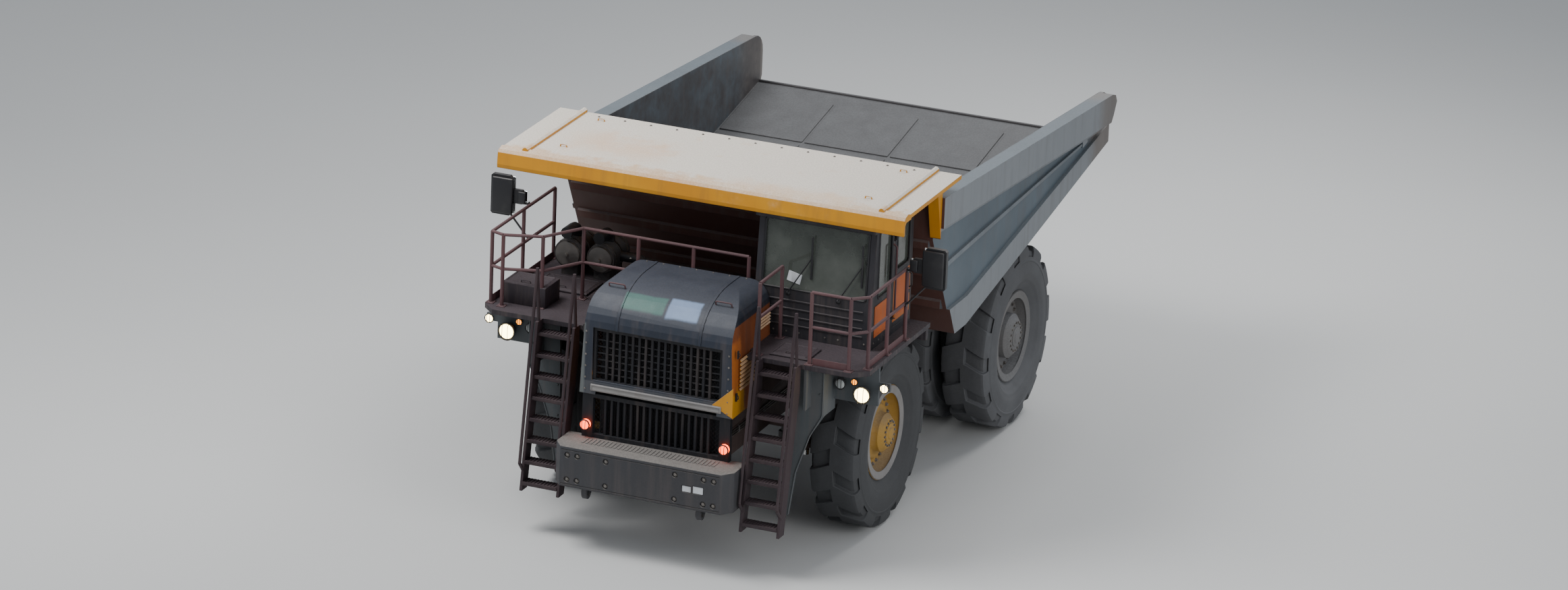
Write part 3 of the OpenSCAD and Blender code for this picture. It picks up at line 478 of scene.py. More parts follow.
Finish = Paint | Rubber | Pane | Lit | Steel | Moulded
YELLOW = (0.60, 0.27, 0.010)
ORANGE = (0.40, 0.115, 0.022)
RED_DUST = (0.135, 0.085, 0.075)
GREY_DUST = (0.185, 0.18, 0.185)
CAB_DUST = (0.13, 0.11, 0.11)
CAB_DARK = ((0.030, 0.029, 0.034), (0.024, 0.023, 0.027), CAB_DUST)
TOP = (Lane.UP, 0.3, 2.0)
HOOD_TOP = (Lane.UP, 0.2, 2.0)
HOOD_FRONT = (Lane.FRONT, 0.5, 2.0)
HOOD_SIDE = ((Lane.OUT, 0.5, 2.0), (Lane.SIDE, 1.04, 1.3))

FINISHES: dict[str, Finish] = {
    "dark_frame": Paint("frame paint", (0.055, 0.040, 0.038), (0.040, 0.032, 0.032), RED_DUST, 0.7, 0.6),
    "bumper_paint": Paint(
        "bumper paint", (0.038, 0.040, 0.047), (0.028, 0.029, 0.035), (0.20, 0.185, 0.17), 0.95, 0.12,
        chips=0.5, bare=(0.12, 0.095, 0.085)),
    "cast": Paint("cast iron", (0.065, 0.055, 0.050), (0.048, 0.042, 0.040), RED_DUST, 0.7, 0.65, rough=0.7, grain=0.9),
    "hood_paint": Paint(
        "hood paint", (0.024, 0.030, 0.044), (0.018, 0.023, 0.034), (0.10, 0.105, 0.125), 0.34, 0.10, 0.45, zones=(
            Zone((0.20, 0.060, 0.022), (*HOOD_SIDE, (Lane.Z, 2.0, 3.45))),
            Zone(ORANGE, (*HOOD_SIDE, (Lane.Z, 2.4, 3.25), (Lane.Y, -5.0, -4.52)), 0.05, 0.25),
            Zone(YELLOW, (*HOOD_SIDE, (Lane.Z, 2.0, 2.55), (Lane.Y, -5.0, -4.40)), 0.05, 0.4),
            Zone((0.060, 0.064, 0.074), (HOOD_FRONT, (Lane.Z, 2.0, 2.36))),
            # Painted highlight: a lighter grey strip down the -X edge of the hood's front face, on that side only.
            Zone((0.12, 0.13, 0.13), (HOOD_FRONT, (Lane.X, -1.3, -1.085), (Lane.Z, 2.0, 3.2)), 0.02),
            Zone((0.040, 0.145, 0.112), (HOOD_TOP, (Lane.X, -0.62, 0.0), (Lane.Y, -4.70, -4.48)), 0.02, 0.04),
            Zone((0.22, 0.32, 0.50), (HOOD_TOP, (Lane.X, 0.05, 0.52), (Lane.Y, -4.72, -4.46)), 0.02, 0.04))),
    "mesh": Paint("grille paint", (0.008, 0.009, 0.012), (0.011, 0.011, 0.014), (0.045, 0.046, 0.052), 0.3, 0.10,
                  rough=0.6, edge=0.004),
    "deck_paint": Paint("deck paint", (0.036, 0.028, 0.033), (0.027, 0.022, 0.027), (0.085, 0.066, 0.073), 0.55, 0.15,
                        plate=14.0),
    "apron_paint": Paint("apron paint", (0.078, 0.088, 0.094), (0.058, 0.067, 0.072), (0.135, 0.14, 0.145), 0.5, 0.4),
    "stair_paint": Paint("stair paint", (0.036, 0.022, 0.026), (0.026, 0.018, 0.022), (0.09, 0.066, 0.072), 0.45, 0.25,
                         chips=0.6, bare=(0.11, 0.075, 0.07)),
    "rail_paint": Paint("rail paint", (0.115, 0.052, 0.055), (0.080, 0.040, 0.045), (0.15, 0.105, 0.11), 0.5, 0.3,
                        chips=0.5, bare=(0.13, 0.09, 0.085), edge=0.008),
    "lamp_white": Lit("head lamp lens", (1.0, 0.80, 0.36), 16.0),
    "lamp_clear": Pane("clear lens", (0.42, 0.45, 0.45), (0.5, 0.5, 0.48), 0.75),
    "lamp_red": Lit("marker lamp lens", (1.0, 0.085, 0.012), 7.0),
    "lamp_amber": Lit("amber lens", (1.0, 0.30, 0.015), 4.0),
    "cab_paint": Paint("cab paint", *CAB_DARK, 0.6, 0.2),
    "yellow_paint": Paint(
        "yellow paint", (0.58, 0.265, 0.008), (0.50, 0.20, 0.008), (0.70, 0.645, 0.57), 0.64, 0.06, 0.5, 0.3,
        bare=(0.20, 0.10, 0.04), zones=(
            Zone((0.60, 0.54, 0.46), (TOP, (Lane.Z, 4.5, 5.2), (Lane.Y, -3.30, -1.0)), 0.10, 0.9),
            Zone((0.62, 0.34, 0.15), (TOP, (Lane.X, -2.3, -0.9), (Lane.Y, -3.0, -2.2)), 0.35, 1.2),
            Zone((0.62, 0.36, 0.16), (TOP, (Lane.X, 0.4, 2.2), (Lane.Y, -3.5, -3.05)), 0.2, 0.9))),
    "door_paint": Paint("door paint", *CAB_DARK, 0.5, 0.2, zones=(Zone(ORANGE, ((Lane.Z, 3.15, 3.82),), 0.005),)),
    "side_orange": Paint("orange panel paint", (0.50, 0.115, 0.018), (0.38, 0.085, 0.016), (0.22, 0.14, 0.12), 0.5,
                         0.2),
    "glass": Pane("window glass", (0.070, 0.078, 0.068), (0.105, 0.112, 0.098), 0.80),
    "mirror_silver": Steel("mirror silver", (0.75, 0.77, 0.78), 0.04, 0.35),
    "red_lens": Moulded("red lens", (0.30, 0.012, 0.008), 0.18, 0.25, 60.0),
    "amber_lens": Moulded("amber lens cap", (0.55, 0.16, 0.01), 0.18, 0.25, 60.0),
    "cab_trim": Moulded("cab trim", (0.035, 0.033, 0.032), 0.6),
    "seat_cloth": Moulded("seat cloth", (0.05, 0.055, 0.07), 0.85, 0.3, 320.0),
    "black_plastic": Moulded("black plastic", (0.012, 0.012, 0.014), 0.42, 0.18),
    "steel_dark": Paint("dark steel", (0.060, 0.053, 0.050), (0.045, 0.042, 0.042), GREY_DUST, 0.6, 0.4, chips=0.6),
    "rod_steel": Steel("ground rod"),
    "bolt_steel": Steel("bolt steel", (0.20, 0.185, 0.17), 0.5, 0.6),
    "tyre": Rubber("front tyre rubber", (0.030, 0.031, 0.033), (0.085, 0.086, 0.088), 0.5),
    "tyre_dusty": Rubber("rear tyre rubber", (0.040, 0.040, 0.042), (0.125, 0.127, 0.133), 1.0),
    "rim_yellow": Paint("yellow wheel paint", (0.50, 0.27, 0.012), (0.38, 0.20, 0.015), (0.24, 0.205, 0.16), 0.45, 0.30,
                        chips=0.7),
    "rim_pale": Paint("pale ring paint", (0.30, 0.285, 0.27), (0.22, 0.21, 0.20), GREY_DUST, 0.5, 0.35),
    "rim_dusty": Paint("dusty wheel paint", (0.15, 0.14, 0.13), (0.115, 0.11, 0.105), (0.19, 0.19, 0.195), 0.6, 0.8),
    "white_paint": Paint("blank plate paint", (0.74, 0.76, 0.78), (0.64, 0.66, 0.68), GREY_DUST, 0.3, 0.10, 0.4, 0.2),
    "bed_paint": Paint(
        "bed paint", (0.100, 0.130, 0.155), (0.078, 0.102, 0.122), (0.22, 0.23, 0.235), 0.38, 0.2, 0.55, 0.7,
        bare=(0.10, 0.085, 0.08), zones=(
            Zone((0.19, 0.205, 0.22), ((Lane.SIDE, 2.825, 3.1), (Lane.OUT, 0.4, 2.0)), 0.01, 0.02),
            Zone((0.14, 0.125, 0.115), ((Lane.SIDE, 2.5, 3.1), (Lane.Y, 4.55, 6.0)), 0.25, 0.5),
            Zone((0.045, 0.040, 0.041), ((Lane.SIDE, -1.0, 2.735), (Lane.Z, 2.47, 4.70), (Lane.Y, -1.72, 5.22)),
                 0.02, 0.05),
            # Painted shade under the canopy, mixed with reddish-brown dust: the front wall's forward faces are made
            # dark red-brown.
            Zone((0.075, 0.032, 0.025), ((Lane.FRONT, 0.3, 2.0), (Lane.Y, -3.0, -0.4)), 0.05))),
}
NODE_FINISHES = {"cab_door": "door_paint", "cab_roof": "cab_paint", "headlamps": "black_plastic"}
ROUND_NODES = ("hood", "air_cleaners", "rear_axle", "front_rim", "rear_rims", "knuckle", "steer_barrel", "steer_rod",
               "hoist_barrel", "hoist_stage", "hoist_rod")


class Workshop:
    """Keeps one material for each finish and the names of the pieces made."""

    materials: dict[str, bpy.types.Material] = {}
    made: list[str] = []

    @classmethod
    def material(cls, finish: str) -> bpy.types.Material:
        """The material of a finish, built on its first use."""
        if finish not in cls.materials:
            cls.materials[finish] = FINISHES[finish].material()
        return cls.materials[finish]


# Modelling


class Shape:
    """A piece in the making, shaped by Blender's own tools where it stands on the truck."""

    def __init__(self, name: str) -> None:
        """Takes the active object and names it."""
        self.object = bpy.context.object
        self.object.name = name
        self.object.data.name = name

    @staticmethod
    def alone(*objects: bpy.types.Object) -> None:
        """Selects only these objects, and makes the first one active."""
        bpy.ops.object.select_all(action="DESELECT")
        for item in objects:
            item.select_set(True)
        if objects:
            bpy.context.view_layer.objects.active = objects[0]

    @classmethod
    def box(cls, name: str, low: Point, high: Point, bevel: float = 0.0, segments: int = 1) -> "Shape":
        """A block with softened edges.

        Args:
            name: the piece's name.
            low: its lowest corner.
            high: its highest corner.
            bevel: width of the softened edges.
            segments: facets across each softened edge.

        Returns:
            The new shape.
        """
        cls.alone()
        bpy.ops.mesh.primitive_cube_add(size=1, location=[(a + b) / 2 for a, b in zip(low, high)])
        shape = cls(name)
        shape.object.scale = [b - a for a, b in zip(low, high)]
        bpy.ops.object.transform_apply(location=True, rotation=True, scale=True)
        return shape.bevel(bevel, segments) if bevel else shape

    @classmethod
    def line(cls, name: str, points: Sequence[Point], closed: bool = False) -> "Shape":
        """An open or closed run of edges, drawn from point to point.

        Args:
            name: the piece's name.
            points: its corners.
            closed: whether the last point joins the first.

        Returns:
            The new shape.
        """
        cls.alone()
        bpy.ops.mesh.primitive_plane_add(size=1, location=points[0])
        shape = cls(name)
        bpy.ops.object.transform_apply(location=True, rotation=True, scale=True)
        with shape.edit():
            bpy.ops.mesh.select_all(action="SELECT")
            bpy.ops.mesh.merge(type="CENTER")
            for start, end in zip(points, points[1:]):
                move = [b - a for a, b in zip(start, end)]
                bpy.ops.mesh.extrude_region_move(TRANSFORM_OT_translate={"value": move})
            if closed:
                ends = (Vector(points[0]), Vector(points[-1]))
                shape.pick(Part.VERT, lambda place: any((place - end).length < MERGE for end in ends))
                bpy.ops.mesh.edge_face_add()
        return shape

    @classmethod
    def plate(cls, name: str, outline: Sequence[Point], thick: Point, bevel: float = 0.0, segments: int = 1) -> "Shape":
        """A flat outline drawn out to a thickness.

        Args:
            name: the piece's name.
            outline: its corners, all in one plane.
            thick: the move from its first face to its second.
            bevel: width of the softened edges.
            segments: facets across each softened edge.

        Returns:
            The new shape.
        """
        shape = cls.line(name, outline, closed=True)
        with shape.edit():
            bpy.ops.mesh.select_all(action="SELECT")
            bpy.ops.mesh.edge_face_add()
            bpy.ops.mesh.extrude_region_move(TRANSFORM_OT_translate={"value": thick})
        shape.tidy()
        return shape.bevel(bevel, segments) if bevel else shape

    @classmethod
    def turned(cls, name: str, section: Sequence[Point], centre: Point = (0, 0, 0), way: Way = Way.UP, steps: int = 32,
               closed: bool = False) -> "Shape":
        """A section of places along an axis and radii, spun round it.

        Args:
            name: the piece's name.
            section: pairs of a place along the axis and a radius.
            centre: where the axis starts.
            way: where it points.
            steps: facets round it.
            closed: whether the section's end joins its start, as in a ring.

        Returns:
            The new shape.
        """
        shape = cls.line(name, [(r, 0, a) for a, r in section], closed)
        with shape.edit():
            bpy.ops.mesh.select_all(action="SELECT")
            bpy.ops.mesh.spin(steps=steps, angle=FULL_TURN, center=(0, 0, 0), axis=(0, 0, 1))
        return shape.tidy().move(at(*centre, way))

    @classmethod
    def pipe(cls, name: str, points: Sequence[Point], radius: float, bend: float = 0.0, sides: int = 8) -> "Shape":
        """A rigid pipe or bar along a path with rounded corners and closed ends.

        Args:
            name: the piece's name.
            points: the path's corners.
            radius: the pipe's radius.
            bend: radius of the corners.
            sides: facets round the pipe.

        Returns:
            The new shape.
        """
        path = [Vector(point) for point in points]
        route = [path[0]]
        for before, corner, after in zip(path, path[1:], path[2:]):
            reach = min(bend, (corner - before).length * 0.45, (after - corner).length * 0.45)
            start = corner + (before - corner).normalized() * reach
            end = corner + (after - corner).normalized() * reach
            turn = (0, 0.25, 0.5, 0.75, 1) if reach else (0,)
            route += [start.lerp(corner, t).lerp(corner.lerp(end, t), t) for t in turn]
        route.append(path[-1])
        curve = bpy.data.curves.new(name, "CURVE")
        curve.dimensions = "3D"
        curve.bevel_depth = radius
        curve.bevel_resolution = max(0, sides // 2 - 2)
        curve.use_fill_caps = True
        spline = curve.splines.new("POLY")
        spline.points.add(len(route) - 1)
        for point, place in zip(spline.points, route):
            point.co = (*place, 1)
        item = bpy.data.objects.new(name, curve)
        bpy.context.collection.objects.link(item)
        cls.alone(item)
        bpy.ops.object.convert(target="MESH")
        return cls(name).tidy()

    @classmethod
    def grip(cls, name: str, foot: Point, far: Point, reach: Point, radius: float, bend: float, lean: float = 0.0,
             sides: int = 8) -> "Shape":
        """A bar that stands off a face on two feet.

        Args:
            name: the piece's name.
            foot: the first foot.
            far: the second foot.
            reach: the move from a foot to the bar.
            radius: the bar's radius.
            bend: radius of its corners.
            lean: how far the bar's ends come in from the feet.
            sides: facets round the bar.

        Returns:
            The new shape.
        """
        first, last, out = Vector(foot), Vector(far), Vector(reach)
        drift = (last - first).normalized() * lean
        return cls.pipe(name, [first, first + out + drift, last + out - drift, last], radius, bend, sides)

    @classmethod
    def of_node(cls, node: str) -> "Shape":
        """A copy of a CAD node with its points merged, so that its round sides can shade smoothly."""
        item = bpy.data.objects.new(node, frame["nodes"][node].data.copy())
        bpy.context.collection.objects.link(item)
        cls.alone(item)
        shape = cls(node + "_form")
        with shape.edit():
            bpy.ops.mesh.select_all(action="SELECT")
            bpy.ops.mesh.remove_doubles(threshold=MERGE)
        return shape

    @classmethod
    def group(cls, name: str, shapes: Iterable["Shape"]) -> "Shape":
        """Joins shapes into the first one, and names it."""
        first, *rest = shapes
        first.object.name = name
        return first.join(*rest)

    @contextmanager
    def edit(self) -> Iterator[None]:
        """Opens the shape in edit mode with nothing selected."""
        self.alone(self.object)
        bpy.ops.object.mode_set(mode="EDIT")
        bpy.ops.mesh.select_mode(type="VERT")
        bpy.ops.mesh.select_all(action="DESELECT")
        yield
        bpy.ops.object.mode_set(mode="OBJECT")

    def pick(self, part: Part, test: Callable[..., bool]) -> None:
        """Selects, in edit mode, the faces, edges or points that pass a test on what Part.facts tells of them."""
        bpy.ops.mesh.select_mode(type=part.name)
        mesh = bmesh.from_edit_mesh(self.object.data)
        for item in getattr(mesh, part.value):
            item.select_set(test(*part.facts(item)))
        mesh.select_flush_mode()
        bmesh.update_edit_mesh(self.object.data)

    def inset(self, way: Way, margin: float, depth: float) -> "Shape":
        """Insets the faces that look one way and sinks or raises what is inside.

        Args:
            way: which faces.
            margin: width of the rim that is left.
            depth: how far the inside moves along its normal.

        Returns:
            The shape.
        """
        facing = way.turn @ Vector((0, 0, 1))
        with self.edit():
            self.pick(Part.FACE, lambda centre, normal: normal.dot(facing) > 0.9)
            bpy.ops.mesh.inset(thickness=margin, depth=0.0)
            bpy.ops.mesh.extrude_region_shrink_fatten(TRANSFORM_OT_shrink_fatten={"value": depth})
        return self

    def tidy(self) -> "Shape":
        """Merges doubled points, fills open ends and turns the faces outwards."""
        with self.edit():
            bpy.ops.mesh.select_all(action="SELECT")
            bpy.ops.mesh.remove_doubles(threshold=MERGE)
            bpy.ops.mesh.fill_holes(sides=0)
            bpy.ops.mesh.select_all(action="SELECT")
            bpy.ops.mesh.normals_make_consistent(inside=False)
        return self

    def modify(self, kind: str, **settings: object) -> "Shape":
        """Adds a modifier with these settings and applies it."""
        self.alone(self.object)
        modifier = self.object.modifiers.new(kind.lower(), kind)
        for key, value in settings.items():
            setattr(modifier, key, value)
        bpy.ops.object.modifier_apply(modifier=modifier.name)
        return self

    def cut(self, tool: "Shape") -> "Shape":
        """Takes another shape's space out of this one, and deletes that shape."""
        self.modify("BOOLEAN", operation="DIFFERENCE", solver="EXACT", object=tool.object)
        bpy.data.objects.remove(tool.object)
        return self

    def bevel(self, width: float, segments: int = 1, angle: float = 0.6) -> "Shape":
        """Softens every edge sharper than an angle in radians."""
        return self.modify("BEVEL", width=width, segments=segments, limit_method="ANGLE", angle_limit=angle,
                           use_clamp_overlap=True)

    def move(self, place: Matrix) -> "Shape":
        """Moves the shape's mesh, and turns its faces back where the move mirrors them."""
        self.object.data.transform(place)
        if place.determinant() < 0:
            self.object.data.flip_normals()
        return self

    def copy(self, place: Matrix) -> "Shape":
        """A copy with a mesh of its own, moved to another place."""
        twin = self.object.copy()
        twin.data = self.object.data.copy()
        bpy.context.collection.objects.link(twin)
        bpy.context.view_layer.objects.active = twin
        return Shape(self.object.name + "_copy").move(place)

    def join(self, *others: "Shape") -> "Shape":
        """Joins other shapes into this one."""
        if others:
            self.alone(self.object, *(other.object for other in others))
            bpy.ops.object.join()
        return self

    def spread(self, places: Iterable[Matrix]) -> "Shape":
        """Repeats the shape at every place and joins the copies into it.

        Args:
            places: moves from the shape as drawn to each copy.

        Returns:
            The joined shape.
        """
        first, *rest = places
        copies = [self.copy(place) for place in rest]
        return self.move(first).join(*copies)

    def both_sides(self) -> "Shape":
        """Adds the shape's mirror image on the other side of the truck."""
        return self.spread(side.mirror for side in Side)

    def dress(self, finish: str, body: str = "chassis", slot: str = "", smooth: float = 0.6) -> "Shape":
        """Gives the shape its finish and its body, and makes it a piece.

        Args:
            finish: name of the finish.
            body: the CAD body that it rides on.
            slot: the record's slot, which is not used.
            smooth: angle in radians under which its faces shade smoothly.

        Returns:
            The finished shape.
        """
        self.alone(self.object)
        bpy.ops.object.shade_smooth_by_angle(angle=smooth)
        self.object.data.materials.clear()
        self.object.data.materials.append(Workshop.material(finish))
        slot = slot or finish
        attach(self.object, body)
        Workshop.made.append(self.object.name)
        LOG.info("%s: %d faces on %s", self.object.name, len(self.object.data.polygons), body)
        return self


def at(x: float = 0.0, y: float = 0.0, z: float = 0.0, way: Way = Way.UP) -> Matrix:
    """A move to a place, turned to look one way."""
    return Matrix.Translation((x, y, z)) @ way.turn


def between(low: float, high: float, count: int) -> list[float]:
    """Evenly spaced numbers from low to high, both included."""
    return [low + (high - low) * i / (count - 1) for i in range(count)]


def circle(count: int, radius: float, base: Matrix = Matrix.Identity(4), height: float = 0.0) -> list[Matrix]:
    """Places round a circle on a base's XY plane, each turned to face out from its middle.

    Args:
        count: how many places.
        radius: radius of the circle.
        base: where the circle's middle is and how it is turned.
        height: height over the base.

    Returns:
        The moves to the places.
    """
    return [base @ Matrix.Rotation(FULL_TURN * i / count, 4, "Z") @ at(radius, 0, height) for i in range(count)]


def arc(radius: float, *degrees: float) -> list[tuple[float, float]]:
    """Points on a circle round the origin, at these angles."""
    return [(radius * math.cos(math.radians(t)), radius * math.sin(math.radians(t))) for t in degrees]


def disc(low: float, high: float, radius: float, bore: float = 0.0) -> tuple[Point, ...]:
    """Section of a plain disc, or of a ring where it has a bore, for Shape.turned."""
    return (low, bore), (low, radius), (high, radius), (high, bore)


def bolt(name: str, size: float, height: float) -> Shape:
    """A hexagonal bolt head on a washer, standing on the XY plane.

    Args:
        name: the piece's name.
        size: radius over the corners.
        height: height of the head.

    Returns:
        The new shape.
    """
    lip, washer = height * 0.3, size * WASHER
    head = Shape.turned(
        name, ((lip, 0), (lip, size), (height * 0.85, size), (height, size * 0.8), (height, 0)), steps=6)
    return head.join(Shape.turned(name + "_washer", disc(-0.002, lip, washer), steps=12))


# Sub-assemblies

FRONT_AXLE = (-2.25, 1.35)
REAR_AXLE = (2.32, 1.35)


@dataclass(frozen=True)
class Wheels:
    """Six tyres with deep staggered lugs, and the nuts, rings and caps of their rims."""

    lugs: int = 13
    cells: int = 8
    gap: int = 3
    slant: float = 0.32
    depth: tuple[float, float] = (0.952, 0.93)
    tread_from: float = 1.19
    twin_turn: float = 0.2
    front_x: float = 2.145
    inner_x: float = 1.40
    outer_x: float = 2.30
    section: tuple[Point, ...] = (
        (0.0, 1.35), (0.03, 1.35), (0.15, 1.35), (0.28, 1.348), (0.322, 1.325), (0.345, 1.27), (0.350, 1.19),
        (0.352, 1.15), (0.364, 1.14), (0.364, 1.12), (0.358, 1.11), (0.369, 1.0), (0.370, 0.95), (0.366, 0.91),
        (0.352, 0.865), (0.352, 0.845), (0.335, 0.825), (0.312, 0.79), (0.308, 0.775), (0.290, 0.745), (0.262, 0.702),
        (0.23, 0.6225), (0.10, 0.6225))
    ring: tuple[Point, ...] = (
        (0.255, 0.560), (0.255, 0.668), (0.274, 0.674), (0.280, 0.662), (0.276, 0.640), (0.268, 0.625), (0.268, 0.590),
        (0.262, 0.562))
    cover: tuple[Point, ...] = (
        (-0.004, 0), (-0.004, 0.145), (0.010, 0.145), (0.014, 0.138), (0.014, 0.09), (0.03, 0.075), (0.034, 0.03),
        (0.034, 0))

    def tyre(self) -> Shape:
        """One tyre round the X axis, its grooves sunk between the lugs."""
        half = [(r * math.cos(self.slant * x), r * math.sin(self.slant * x), x) for x, r in self.section]
        other = [(a, b, -c) for a, b, c in reversed(half[1:])]
        shape = Shape.line("tyre_form", other + half, closed=True)
        with shape.edit():
            bpy.ops.mesh.select_all(action="SELECT")
            bpy.ops.mesh.spin(steps=self.lugs * self.cells, angle=FULL_TURN, center=(0, 0, 0), axis=(0, 0, 1))
        shape.tidy()

        def grooved(centre: Vector, normal: Vector) -> bool:
            """Whether a face lies between two lugs."""
            if math.hypot(centre.x, centre.y) < self.tread_from or abs(centre.z) < 0.02:
                return False
            turn = (math.atan2(centre.y, centre.x) - self.slant * abs(centre.z)) / FULL_TURN * self.lugs
            return (turn + (0.0 if centre.z > 0 else 0.5)) % 1.0 < self.gap / self.cells

        across, along = self.depth
        with shape.edit():
            shape.pick(Part.FACE, grooved)
            bpy.ops.mesh.extrude_region_move(TRANSFORM_OT_translate={"value": (0, 0, 0)})
            bpy.ops.transform.resize(value=(across, across, along), center_override=(0, 0, 0))
        return shape.bevel(0.010, angle=0.7).move(Way.LEFT.turn)

    def tyres(self) -> None:
        """Sets a tyre in each place and lets it stand for its CAD node."""
        form = self.tyre()
        for side in Side:
            for part, body, finish, xs, (y, z) in (
                ("front_tyre", "front_wheel", "tyre", (self.front_x,), FRONT_AXLE),
                ("rear_tyres", "rear_wheels", "tyre_dusty", (self.inner_x, self.outer_x), REAR_AXLE),
            ):
                node = f"{part}_{side.word}"
                shape = Shape.group(node + "_tread", [
                    form.copy(at(side.value * x, y, z) @ Matrix.Rotation(self.twin_turn * i, 4, "X"))
                    for i, x in enumerate(xs)])
                shape.dress(finish, f"{body}_{side.word}", "tyre", 0.5)
                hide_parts(node)
        bpy.data.objects.remove(form.object)

    def fittings(self) -> None:
        """Rim rings, wheel nuts, hub bolts, caps and valves, on the outer side of each wheel."""
        nut, small = bolt("wheel_nut", 0.021, 0.034), bolt("hub_bolt", 0.014, 0.02)
        for side in Side:
            s, word = side.value, side.word
            for name, wheel, x, (y, z), face, hub, hub_r, edge, rim in (
                ("front", "front_wheel", self.front_x, FRONT_AXLE, 0.09, 0.33, 0.18, "rim_pale", "rim_yellow"),
                ("rear", "rear_wheels", self.outer_x, REAR_AXLE, 0.10, 0.31, 0.21, "rim_dusty", "rim_dusty"),
            ):
                body, centre = f"{wheel}_{word}", (s * x, y, z)
                lock = Shape.turned(f"{name}_lock_ring_{word}", self.ring, centre, side.way, 64, closed=True)
                lock.dress(edge, body, rim)
                for kind, head, count, radius, height in (
                    ("wheel_nuts", nut, 24, 0.50, face), ("hub_bolts", small, 16, hub_r, hub),
                ):
                    heads = head.copy(at())
                    heads.object.name = f"{name}_{kind}_{word}"
                    heads.spread(circle(count, radius, at(*centre, side.way), height)).dress("bolt_steel", body, rim)
                cover = Shape.turned(
                    f"{name}_hub_cover_{word}", [(hub + a, r) for a, r in self.cover], centre, side.way, 40)
                cover.dress(rim, body, rim)
                valve = Shape.pipe(
                    f"{name}_valve_{word}", [(s * (x + face - 0.01), y, z + 0.545), (s * (x + 0.18), y, z + 0.545),
                                             (s * (x + 0.24), y, z + 0.50)], 0.010, 0.03)
                valve.dress("bolt_steel", body, rim)
        for spare in (nut, small):
            bpy.data.objects.remove(spare.object)

    def build(self) -> None:
        """Makes every piece of the wheels."""
        self.tyres()
        self.fittings()


